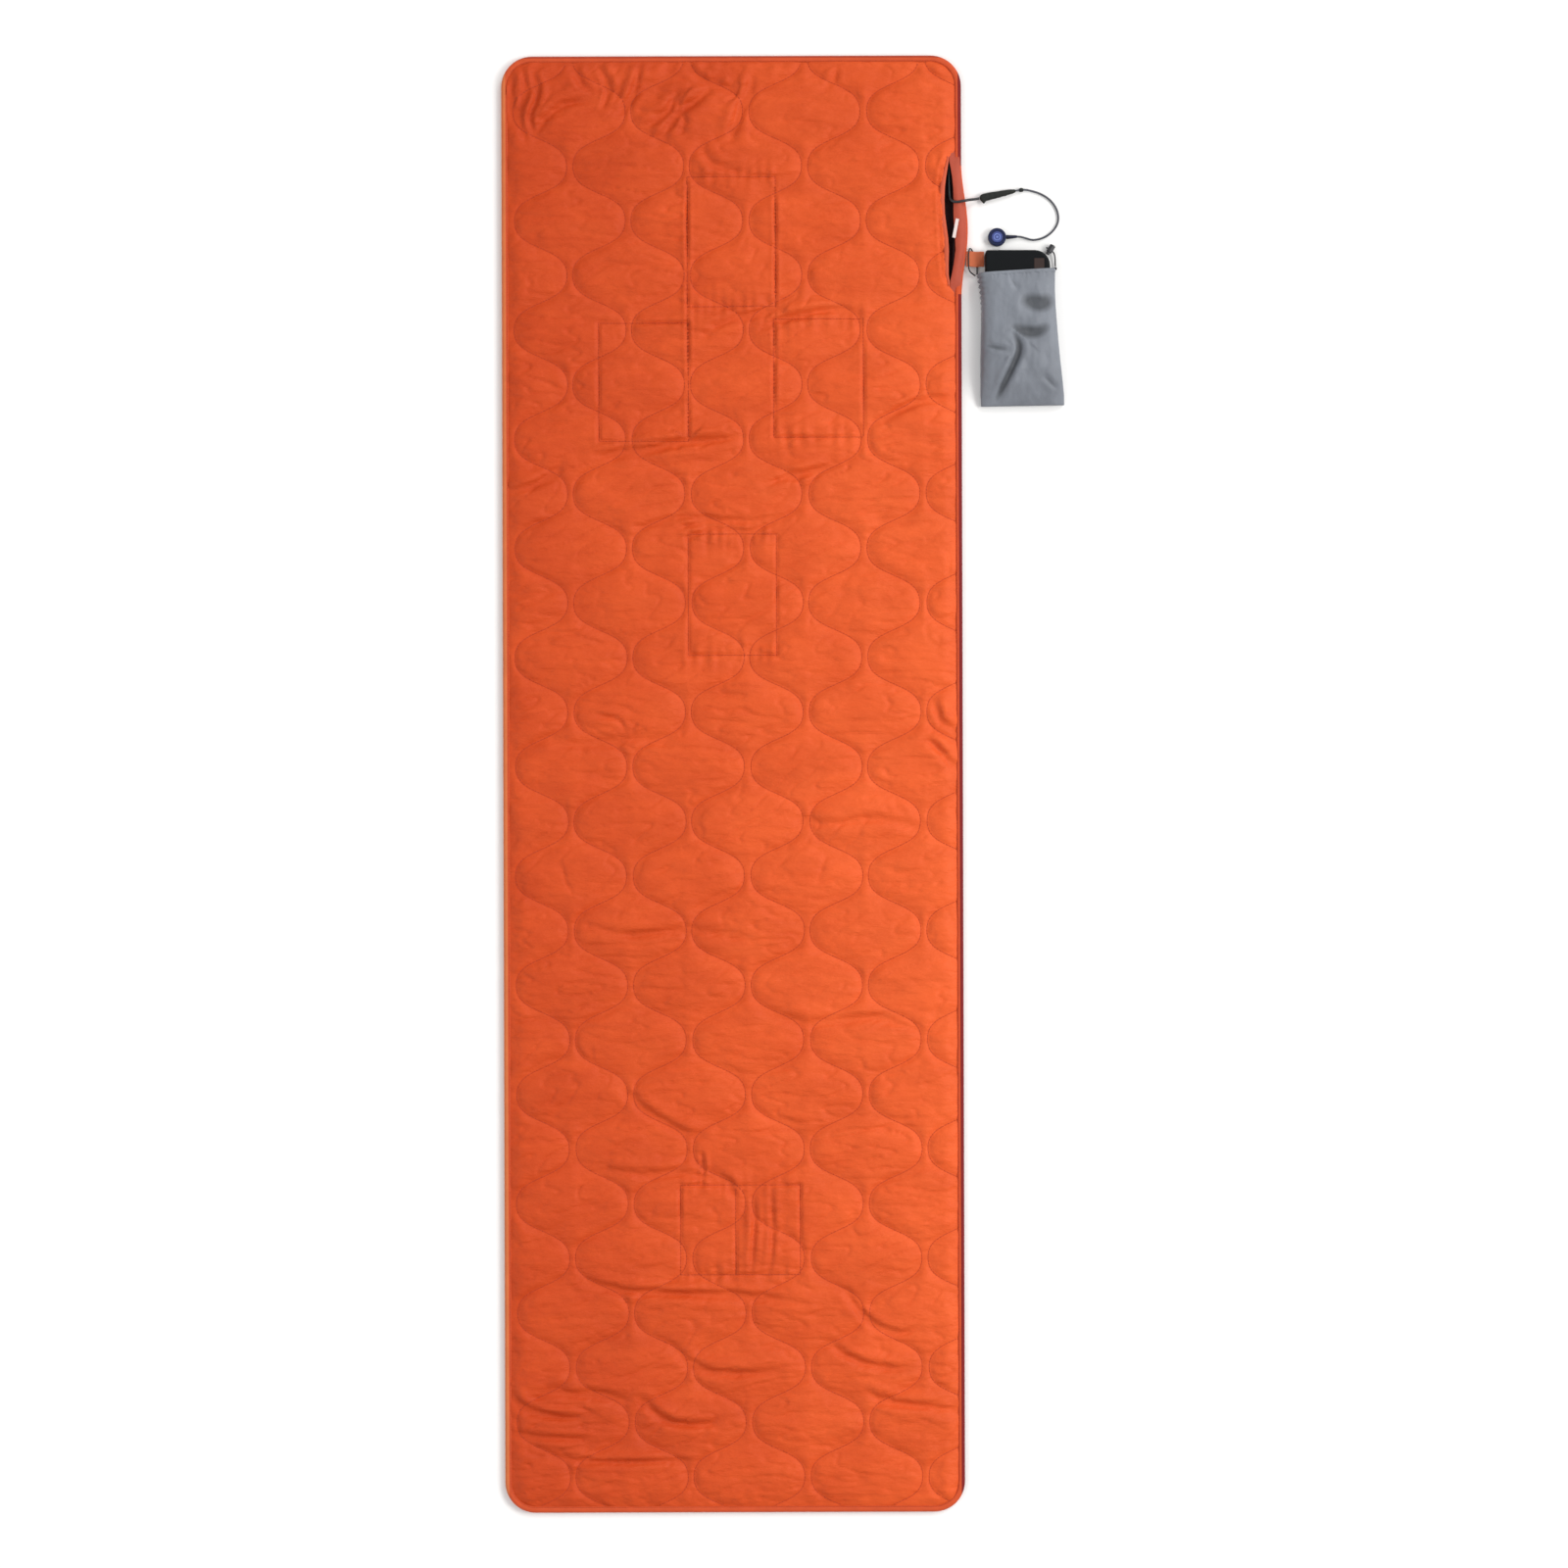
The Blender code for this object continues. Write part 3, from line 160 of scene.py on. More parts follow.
def link_mesh(bm, name, finish, smooth=True):
    mesh = bpy.data.meshes.new(name)
    bm.normal_update()
    bm.to_mesh(mesh)
    bm.free()
    return link(mesh, name, finish, smooth)


def link(mesh, name, finish, smooth=True):
    piece = bpy.data.objects.new(name, mesh)
    mesh.materials.clear()
    mesh.materials.append(finish)
    if smooth:
        mesh.shade_smooth()
    bpy.context.scene.collection.objects.link(piece)
    return piece


def applied(piece):
    """The piece with its modifiers applied and its place taken into its mesh."""
    bpy.context.view_layer.update()
    graph = bpy.context.evaluated_depsgraph_get()
    mesh = bpy.data.meshes.new_from_object(piece.evaluated_get(graph), depsgraph=graph)
    mesh.transform(piece.matrix_world)
    name = piece.name
    bpy.data.objects.remove(piece, do_unlink=True)
    fresh = bpy.data.objects.new(name, mesh)
    bpy.context.scene.collection.objects.link(fresh)
    return fresh


def closed(piece, before=math.inf):
    """The piece with its open ends filled, where they lie nearer the foot than before."""
    bm = bmesh.new()
    bm.from_mesh(piece.data)
    rim = [e for e in bm.edges if e.is_boundary and e.verts[0].co.y < before]
    bmesh.ops.holes_fill(bm, edges=rim, sides=0)
    bmesh.ops.recalc_face_normals(bm, faces=bm.faces)
    bm.to_mesh(piece.data)
    bm.free()
    return piece


def shaped_sheet(name, across, along, place, finish, wrap=False):
    """A grid whose every point (s, t), each from 0 to 1, is put where place(s, t) says."""
    bm = bmesh.new()
    bmesh.ops.create_grid(bm, x_segments=across, y_segments=along, size=0.5)
    uv = bm.loops.layers.uv.new("UVMap")
    spots = {v: (v.co.x + 0.5, v.co.y + 0.5) for v in bm.verts}
    for face in bm.faces:
        for loop in face.loops:
            loop[uv].uv = spots[loop.vert]
    for v, (s, t) in spots.items():
        v.co = place(s, t)
    if wrap:
        bmesh.ops.remove_doubles(bm, verts=bm.verts, dist=1e-6)
    bmesh.ops.recalc_face_normals(bm, faces=bm.faces)
    return link_mesh(bm, name, finish)


def thicken(piece, wall, offset=-1.0, levels=0):
    """The sheet with a wall, smoothed once more where levels says so."""
    shell = piece.modifiers.new("cloth", "SOLIDIFY")
    shell.thickness = wall
    shell.offset = offset
    if levels:
        smooth = piece.modifiers.new("smooth", "SUBSURF")
        smooth.levels = levels
        smooth.render_levels = levels
    return applied(piece)


def smooth_line(points, count):
    """Evenly spaced points on a Catmull-Rom curve through the given ones."""
    ends = [points[0] * 2 - points[1]] + list(points) + [points[-1] * 2 - points[-2]]
    steps = 24
    fine = []
    for a, b, c, d in zip(ends, ends[1:], ends[2:], ends[3:]):
        for k in range(steps):
            t = k / steps
            fine.append(0.5 * (2 * b + (c - a) * t + (2 * a - 5 * b + 4 * c - d) * t * t
                               + (3 * b - a - 3 * c + d) * t ** 3))
    fine.append(points[-1])
    total = sum((q - p).length for p, q in zip(fine, fine[1:]))
    spaced, walked, wanted = [fine[0]], 0.0, total / count
    for p, q in zip(fine, fine[1:]):
        length = (q - p).length
        while walked + length >= wanted - 1e-9 and len(spaced) < count:
            spaced.append(p.lerp(q, (wanted - walked) / length))
            wanted += total / count
        walked += length
    spaced.append(fine[-1])
    return spaced, total


def cord_curve(name, route, diameter, finish, spacing=1.2):
    """A round cord on one open spline through the route's points."""
    points = [side(*p) for p in route]
    total = smooth_line(points, 10)[1]
    line, total = smooth_line(points, max(24, round(total / (spacing * diameter))))
    curve = bpy.data.curves.new(name, "CURVE")
    curve.dimensions = "3D"
    curve.bevel_depth = diameter / 2
    curve.bevel_resolution = 5
    curve.use_fill_caps = True
    spline = curve.splines.new("POLY")
    spline.points.add(len(line) - 1)
    for point, place in zip(spline.points, line):
        point.co = (*place, 1)
    spline.use_smooth = True
    curve.materials.append(finish)
    piece = bpy.data.objects.new(name, curve)
    bpy.context.scene.collection.objects.link(piece)
    return piece, total


# ---------------------------------------------------------------- finishes

class Finish:
    """A procedural material that is built up a layer at a time."""

    def __init__(self, name, color, roughness, metallic=0.0, sheen=0.0, coat=0.0, specular=0.5):
        self.material = bpy.data.materials.new(name)
        self.material.use_nodes = True
        self.tree = self.material.node_tree
        self.shader = self.tree.nodes["Principled BSDF"]
        self.color = (*color, 1)
        self.shader.inputs["Base Color"].default_value = self.color
        self.shader.inputs["Roughness"].default_value = roughness
        self.shader.inputs["Metallic"].default_value = metallic
        self.shader.inputs["Sheen Weight"].default_value = sheen
        self.shader.inputs["Sheen Roughness"].default_value = 0.4
        self.shader.inputs["Coat Weight"].default_value = coat
        self.shader.inputs["Specular IOR Level"].default_value = specular
        self.place = self.node("ShaderNodeTexCoord").outputs["Object"]
        self.height = None
        self.tint = None

    def node(self, kind, **values):
        made = self.tree.nodes.new(kind)
        for key, value in values.items():
            setattr(made, key, value)
        return made

    def join(self, source, target):
        self.tree.links.new(source, target)

    def mapped(self, scale, turn=0.0):
        mapping = self.node("ShaderNodeMapping")
        mapping.inputs["Scale"].default_value = scale
        mapping.inputs["Rotation"].default_value = (0, 0, turn)
        self.join(self.place, mapping.inputs["Vector"])
        return mapping.outputs["Vector"]

    def noise(self, scale, detail=4.0, roughness=0.55, stretch=(1, 1, 1), turn=0.0):
        made = self.node("ShaderNodeTexNoise")
        made.inputs["Scale"].default_value = scale
        made.inputs["Detail"].default_value = detail
        made.inputs["Roughness"].default_value = roughness
        self.join(self.mapped(stretch, turn), made.inputs["Vector"])
        return made.outputs["Fac"]

    def wave(self, scale, axis="X", distortion=0.0, turn=0.0):
        made = self.node("ShaderNodeTexWave", bands_direction=axis)
        made.inputs["Scale"].default_value = scale
        made.inputs["Distortion"].default_value = distortion
        made.inputs["Detail"].default_value = 1.0
        self.join(self.mapped((1, 1, 1), turn), made.inputs["Vector"])
        return made.outputs["Fac"]

    def math(self, operation, a, b):
        made = self.node("ShaderNodeMath", operation=operation)
        for socket, value in zip(made.inputs, (a, b)):
            if isinstance(value, (int, float)):
                socket.default_value = value
            else:
                self.join(value, socket)
        return made.outputs[0]

    def weave(self, pitch, depth):
        """Over and under threads: one wave along each axis, the taller one on top."""
        warp = self.wave(0.32 / pitch, "X")
        weft = self.wave(0.32 / pitch, "Y")
        return self.bump(self.math("MAXIMUM", warp, weft), depth)

    def ramp(self, value, stops):
        made = self.node("ShaderNodeValToRGB")
        made.color_ramp.elements[0].position = stops[0][0]
        made.color_ramp.elements[0].color = (*stops[0][1], 1)
        made.color_ramp.elements[1].position = stops[-1][0]
        made.color_ramp.elements[1].color = (*stops[-1][1], 1)
        for position, color in stops[1:-1]:
            made.color_ramp.elements.new(position).color = (*color, 1)
        self.join(value, made.inputs["Fac"])
        return made.outputs["Color"]

    def paint(self, color):
        """The surface's colour so far."""
        self.tint = color
        self.join(color, self.shader.inputs["Base Color"])
        return self

    def vary(self, value, amount, darker=0.75, lighter=1.2):
        """Shades the colour by a value from 0 to 1."""
        mix = self.node("ShaderNodeMix", data_type="RGBA", blend_type="MULTIPLY")
        mix.inputs[0].default_value = amount
        if self.tint is None:
            mix.inputs[6].default_value = self.color
        else:
            self.join(self.tint, mix.inputs[6])
        self.join(self.ramp(value, [(0.25, (darker,) * 3), (0.75, (lighter,) * 3)]), mix.inputs[7])
        return self.paint(mix.outputs[2])

    def rough(self, value, low, high):
        """Lets the roughness wander between two figures."""
        span = self.node("ShaderNodeMapRange")
        span.inputs["To Min"].default_value = low
        span.inputs["To Max"].default_value = high
        self.join(value, span.inputs["Value"])
        self.join(span.outputs[0], self.shader.inputs["Roughness"])
        return self

    def bump(self, value, depth):
        made = self.node("ShaderNodeBump")
        made.inputs["Strength"].default_value = 1.0
        made.inputs["Distance"].default_value = depth
        self.join(value, made.inputs["Height"])
        if self.height is not None:
            self.join(self.height, made.inputs["Normal"])
        self.height = made.outputs["Normal"]
        self.join(self.height, self.shader.inputs["Normal"])
        return self


def plain_finish(name, color, roughness):
    made = Finish(name, color, roughness)
    made.vary(made.noise(3.0, 2), 0.25, 0.99, 1.01)
    return made.material


def taffeta(name, dark, middle, light, sheen=0.02):
    """Fine woven cover cloth with creases that run mostly across the mat, with painted light and shade
    across and along it.
    """
    made = Finish(name, middle, 0.55, sheen=sheen, specular=0.18)
    across = made.node("ShaderNodeSeparateXYZ")
    made.join(made.place, across.inputs[0])
    # Painted light: the cloth's colour runs lighter towards the right side, where the light falls.
    painted_light_slope = made.node("ShaderNodeMapRange")
    painted_light_slope.inputs["From Min"].default_value = -HALF_WIDTH
    painted_light_slope.inputs["From Max"].default_value = HALF_WIDTH
    made.join(across.outputs["X"], painted_light_slope.inputs["Value"])
    clouds = made.noise(9.0, 5, 0.6)
    brushed_way = made.noise(60, 5, 0.62, (0.3, 1, 1))
    # Painted shade: darker towards the head and the foot, where the light falls off.
    ends = made.math("MULTIPLY", made.math("MULTIPLY", across.outputs["Y"], across.outputs["Y"]), -0.16)
    drift = made.math("ADD", made.math("MULTIPLY", painted_light_slope.outputs[0], 0.42), ends)
    # The ramp mixes that painted light and shade with random mottling.
    mottle = made.math("ADD", made.math("MULTIPLY", clouds, 0.4), made.math("MULTIPLY", brushed_way, 0.36))
    made.paint(made.ramp(made.math("ADD", drift, mottle), [(0.3, dark), (0.56, middle), (0.82, light)]))
    made.vary(made.noise(1500, 2, 0.5), 0.35, 0.92, 1.06)
    made.vary(made.noise(46, 5, 0.6, (0.3, 1, 1)), 0.5, 0.88, 1.09)
    made.bump(made.noise(26, 6, 0.62, (0.35, 1, 1)), 4.6 * MM)
    made.bump(made.noise(90, 4, 0.6, (0.45, 1, 1)), 1.8 * MM)
    made.weave(0.45 * MM, 0.035 * MM)
    return made.material


def soft_cloth(name, color, pitch, sheen=0.1, crease=0.5, rough=0.75, spread=0.35):
    made = Finish(name, color, rough, sheen=sheen, specular=0.25)
    made.vary(made.noise(35, 4), spread)
    made.vary(made.noise(1200, 2), 0.3, 0.9, 1.1)
    made.bump(made.noise(60, 5, 0.6), crease * MM)
    made.weave(pitch, 0.08 * pitch)
    return made.material


def moulded(name, color, rough, grain=900, depth=0.02, coat=0.0, specular=0.5):
    made = Finish(name, color, rough, coat=coat, specular=specular)
    made.vary(made.noise(70, 3), 0.3, 0.85, 1.15)
    made.rough(made.noise(160, 4), rough * 0.85, min(1.0, rough * 1.2))
    made.bump(made.noise(grain, 3), depth * MM)
    return made.material


def jacket(name, color, rough=0.45):
    made = Finish(name, color, rough)
    made.vary(made.noise(140, 3), 0.35, 0.8, 1.25)
    made.rough(made.noise(400, 4), rough * 0.8, rough * 1.3)
    made.bump(made.noise(700, 3), 0.03 * MM)
    return made.material


def braid(name, color):
    """Two thread directions crossing round a string."""
    made = Finish(name, color, 0.8, sheen=0.15, specular=0.2)
    one = made.wave(520, "DIAGONAL")
    two = made.wave(520, "DIAGONAL", turn=math.pi / 2)
    made.bump(made.math("MAXIMUM", one, two), 0.18 * MM)
    # Painted shade: the colour darkens where the strands dip, between them.
    made.vary(made.math("MAXIMUM", one, two), 0.7, 0.55, 1.3)
    return made.material


def brushed(name, color, rough=0.3):
    made = Finish(name, color, rough, metallic=1.0)
    made.rough(made.noise(500, 4, 0.6, (1, 0.06, 1)), rough * 0.7, rough * 1.5)
    made.bump(made.noise(900, 3, 0.5, (1, 0.05, 1)), 0.01 * MM)
    return made.material


def binding_finish():
    """Folded tape, its colour painted by where light falls: tan painted light down the left side, deep red
    painted shade on the outer half of the right, and darker painted shade along the head.
    """
    made = Finish("binding_tape", (0.6, 0.12, 0.05), 0.62, sheen=0.03, specular=0.2)
    split = made.node("ShaderNodeSeparateXYZ")
    made.join(made.place, split.inputs[0])
    # Painted shade on the right side and along the head end, painted light down the left side.
    beside = made.math("ABSOLUTE", made.math("SUBTRACT", split.outputs["Y"], SWELL_Y), 0)
    right = made.math("MULTIPLY", made.math("GREATER_THAN", split.outputs["X"], HALF_WIDTH - 4.6 * MM),
                      made.math("GREATER_THAN", beside, SWELL_HALF - 6 * MM))
    head = made.math("MULTIPLY", made.math("GREATER_THAN", split.outputs["Y"], HALF_LENGTH - 3.4 * MM), 0.45)
    deep = made.math("MAXIMUM", right, head)
    left = made.math("LESS_THAN", split.outputs["X"], 5.5 * MM - HALF_WIDTH)
    painted_light_and_shade = made.math("SUBTRACT", made.math("ADD", made.math("MULTIPLY", deep, 0.5), 0.5),
                     made.math("MULTIPLY", left, 0.5))
    # Ramp: tan painted light, the tape's own orange red, deep red painted shade.
    made.paint(made.ramp(painted_light_and_shade, [(0.0, (0.58, 0.145, 0.045)), (0.5, (0.53, 0.070, 0.018)),
                                (1.0, (0.17, 0.006, 0.006))]))
    made.vary(made.noise(60, 4), 0.4, 0.8, 1.15)
    made.bump(made.noise(120, 4, 0.6), 0.5 * MM)
    made.weave(0.7 * MM, 0.07 * MM)
    return made.material


def webbing_finish():
    """Flat webbing with ribs along its length."""
    made = Finish("orange_webbing", (0.56, 0.142, 0.062), 0.7, sheen=0.05, specular=0.2)
    made.vary(made.noise(90, 4), 0.4, 0.78, 1.15)
    made.bump(made.wave(210, "Y"), 0.25 * MM)
    made.bump(made.wave(420, "X", 0.4), 0.12 * MM)
    return made.material


def button_finish():
    """Satin blue cap, with a plain paler ring and a small paler dot painted in its middle."""
    centre = (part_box("controller_button")[0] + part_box("controller_button")[1]) / 2
    made = Finish("satin_blue", (0.20, 0.28, 0.72), 0.4)
    shift = made.node("ShaderNodeVectorMath", operation="DISTANCE")
    flat = made.node("ShaderNodeVectorMath", operation="MULTIPLY")
    flat.inputs[1].default_value = (1, 1, 0)
    made.join(made.place, flat.inputs[0])
    made.join(flat.outputs[0], shift.inputs[0])
    shift.inputs[1].default_value = (centre.x, centre.y, 0)
    far = made.math("MULTIPLY", shift.outputs["Value"], 1 / (8 * MM))
    deep, mid, pale = (0.012, 0.020, 0.10), (0.040, 0.060, 0.22), (0.16, 0.22, 0.50)
    stops = [(0.0, pale), (0.16, pale), (0.19, mid), (0.42, mid), (0.46, pale), (0.54, pale), (0.58, mid),
             (0.82, mid), (0.95, deep)]
    made.paint(made.ramp(far, stops))
    made.vary(made.noise(320, 4), 0.6, 0.65, 1.35)
    made.bump(made.noise(900, 3), 0.02 * MM)
    return made.material


def pouch_finish():
    """Thin grey polyester with a soft shine and broad folds, the folds darkened by painted shade."""
    made = Finish("grey_pouch_cloth", (0.158, 0.172, 0.198), 0.5, sheen=0.08, specular=0.35)
    # Painted shade: the cloth is painted darker in its folds, by the pouch's own attribute.
    painted_fold_shade = made.node("ShaderNodeAttribute")
    painted_fold_shade.attribute_name = "painted_fold_shade"
    made.vary(painted_fold_shade.outputs["Fac"], 1.0, 1.08, 0.42)
    made.vary(made.noise(26, 4, 0.6, (1, 0.6, 1), 0.5), 0.8, 0.75, 1.2)
    made.vary(made.noise(1300, 2), 0.3, 0.88, 1.12)
    made.bump(made.noise(30, 5, 0.6, (1, 0.6, 1), 0.4), 1.6 * MM)
    made.weave(0.5 * MM, 0.05 * MM)
    return made.material


FINISH_MAKERS = {
    "cover": lambda: taffeta(
        "orange_taffeta", (0.49, 0.050, 0.007), (0.59, 0.072, 0.012), (0.70, 0.100, 0.020)),
    "back": lambda: taffeta(
        "orange_backing", (0.40, 0.040, 0.006), (0.50, 0.060, 0.010), (0.60, 0.085, 0.018)),
    "binding": binding_finish,
    "facing": lambda: soft_cloth("salmon_facing", (0.40, 0.066, 0.034), 0.5 * MM, 0.04, 1.4, 0.6),
    "welt": lambda: soft_cloth("orange_welt", (0.52, 0.085, 0.035), 0.5 * MM, 0.04, 0.8, 0.55),
    "thread": lambda: braid("orange_thread", (0.40, 0.040, 0.010)),
    "lining": lambda: soft_cloth("dark_lining", (0.022, 0.005, 0.006), 0.6 * MM, 0.0, 0.5, 0.9),
    "wadding": lambda: soft_cloth("white_wadding", (0.80, 0.78, 0.74), 2.5 * MM, 0.2, 2.0, 0.95),
    "heater": lambda: soft_cloth("carbon_felt", (0.03, 0.03, 0.034), 1.2 * MM, 0.0, 0.2, 0.8),
    "harness": lambda: jacket("ribbon_jacket", (0.08, 0.08, 0.09), 0.5),
    "label": lambda: soft_cloth("white_tape", (0.66, 0.55, 0.52), 0.35 * MM, 0.1, 0.15, 0.7, 0.1),
    "webbing": webbing_finish,
    "lead": lambda: jacket("black_jacket", (0.012, 0.012, 0.014), 0.42),
    "cord": lambda: jacket("slate_jacket", (0.045, 0.048, 0.062), 0.5),
    "sleeve": lambda: soft_cloth("black_sleeve", (0.012, 0.014, 0.012), 0.7 * MM, 0.05, 0.8, 0.6),
    "shell": lambda: moulded("navy_shell", (0.004, 0.006, 0.024), 0.42, specular=0.3),
    "bezel": lambda: moulded("navy_bezel", (0.006, 0.011, 0.048), 0.35, coat=0.1, specular=0.3),
    "button": button_finish,
    "board": lambda: moulded("green_laminate", (0.02, 0.16, 0.07), 0.4, 500, 0.05),
    "switch": lambda: moulded("black_switch", (0.03, 0.03, 0.032), 0.5),
    "bank": lambda: moulded("black_case", (0.0040, 0.0050, 0.0060), 0.5, 1400, 0.03, specular=0.12),
    "cell": lambda: brushed("foil", (0.55, 0.56, 0.58), 0.35),
    # Dark smoked tint; its brown cast is a painted reflection of the orange-brown glints at the bank's
    # corner.
    "window": lambda: moulded("smoked_gloss_painted_reflection", (0.020, 0.006, 0.003), 0.12, 60, 0.01, 0.6),
    "metal": lambda: brushed("bright_steel", (0.62, 0.62, 0.62), 0.25),
    "pouch": pouch_finish,
    "string": lambda: braid("black_string", (0.022, 0.022, 0.026)),
    "lock": lambda: moulded("black_moulding", (0.025, 0.025, 0.03), 0.4),
}
FINISHES = {}


def finish(name):
    """The material of that name, made the first time it is wanted."""
    if name not in FINISHES:
        FINISHES[name] = FINISH_MAKERS[name]()
    return FINISHES[name]


# ---------------------------------------------------------------- plan of the mat

def swell(y):
    """How far the mat's right side bellies out beside the pocket."""
    offset = np.clip((np.asarray(y) - SWELL_Y) / SWELL_HALF, -1, 1)
    return SWELL * np.cos(offset * math.pi / 2) ** 2


def half_width(y, inset):
    """Half the plain width at a height along the mat, inside the rounded corners."""
    corner = CORNER - inset
    over = np.clip(np.abs(y) - (HALF_LENGTH - CORNER), 0, corner)
    return HALF_WIDTH - CORNER + np.sqrt(corner * corner - over * over)


def left_side(y, inset):
    return -half_width(y, inset)


def right_side(y, inset):
    return half_width(y, inset) + swell(y)


def from_border(x, y):
    """How far points are inside the line where the panel goes under the binding."""
    sides = np.minimum(x - left_side(y, EDGE_INSET), right_side(y, EDGE_INSET) - x)
    return np.minimum(sides, HALF_LENGTH - EDGE_INSET - np.abs(y))


# The slit's two lips, in mm from the side anchor, from foot to head: along, left lip, right lip
SLIT_LIPS = [
    (-79.0, -15.6, -15.4), (-70.0, -17.0, -13.4), (-55.0, -17.0, -10.6), (-38.0, -16.5, -8.4),
    (-22.0, -17.4, -8.8), (-6.0, -19.6, -10.2), (10.0, -21.6, -10.8), (28.0, -22.2, -10.8),
    (44.0, -21.6, -11.2), (58.0, -19.8, -12.4), (70.0, -17.8, -14.4), (79.0, -16.5, -16.3),
]


def lips_at(y):
    """Where the slit's left and right lips are across the mat."""
    v = (y - SLIT_Y) / MM
    table = np.array(SLIT_LIPS)
    left = np.interp(v, table[:, 0], table[:, 1])
    right = np.interp(v, table[:, 0], table[:, 2])
    return HALF_WIDTH + left * MM, HALF_WIDTH + right * MM


def panel_right(y):
    """The quilted panel's right side: under the binding, or along the slit's left lip."""
    reach = np.clip((np.abs(np.asarray(y) - SLIT_Y) - 79 * MM) / SLIT_BLEND, 0, 1)
    share = reach * reach * (3 - 2 * reach)
    lip = lips_at(y)[0] - 1.5 * MM
    return lip + (right_side(y, EDGE_INSET) - lip) * share


# ---------------------------------------------------------------- quilting

def swing(angle):
    """A wave with rounded turns and nearly straight runs between them."""
    return math.tanh(1.25 * math.sin(angle)) / math.tanh(1.25)


def seam_x(index, y):
    """Where a seam is across the mat. Even ones swing one way and odd ones the other."""
    centre = FIRST_COLUMN + SEAM_SPACING * (index + 0.5)
    sign = 1 if index % 2 == 0 else -1
    angle = 2 * math.pi * (y - SEAM_PHASE_Y) / SEAM_PERIOD + math.pi / 2
    drift = 1.6 * MM * noise.noise(Vector((index * 3.7, y * 9.0, 0.3)))
    return centre + sign * SEAM_SWING * swing(angle) + drift


def seam_runs(inset=EDGE_INSET):
    """Each serpentine seam as the runs of points that lie on the panel."""
    runs = []
    step = 1.0 * MM
    count = int(2 * HALF_LENGTH / step)
    for index in range(-1, 7):
        run = []
        for k in range(count + 1):
            y = -HALF_LENGTH + k * step
            x = seam_x(index, y)
            inside = abs(y) < HALF_LENGTH - inset and left_side(y, inset) < x < panel_right(y)
            if inside:
                run.append((x, y))
            elif run:
                runs.append(run)
                run = []
        if run:
            runs.append(run)
    return [run for run in runs if len(run) > 6]


def heater_loops():
    """The stitched outline over each heater pad."""
    loops = []
    for name in HEATERS:
        low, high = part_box(name)
        grow = 0.5 * MM
        x0, y0, x1, y1 = low.x - grow, low.y - grow, high.x + grow, high.y + grow
        corners = [(x0, y0), (x1, y0), (x1, y1), (x0, y1), (x0, y0)]
        loop = []
        for (ax, ay), (bx, by) in zip(corners, corners[1:]):
            count = max(2, int(math.hypot(bx - ax, by - ay) / MM))
            loop += [(ax + (bx - ax) * k / count, ay + (by - ay) * k / count) for k in range(count)]
        loops.append(loop + [corners[0]])
        if name == "heater_feet":
            middle = low.x + 0.46 * (high.x - low.x)
            loops.append([(middle, y0 + k * MM) for k in range(int((y1 - y0) / MM))])
    return loops


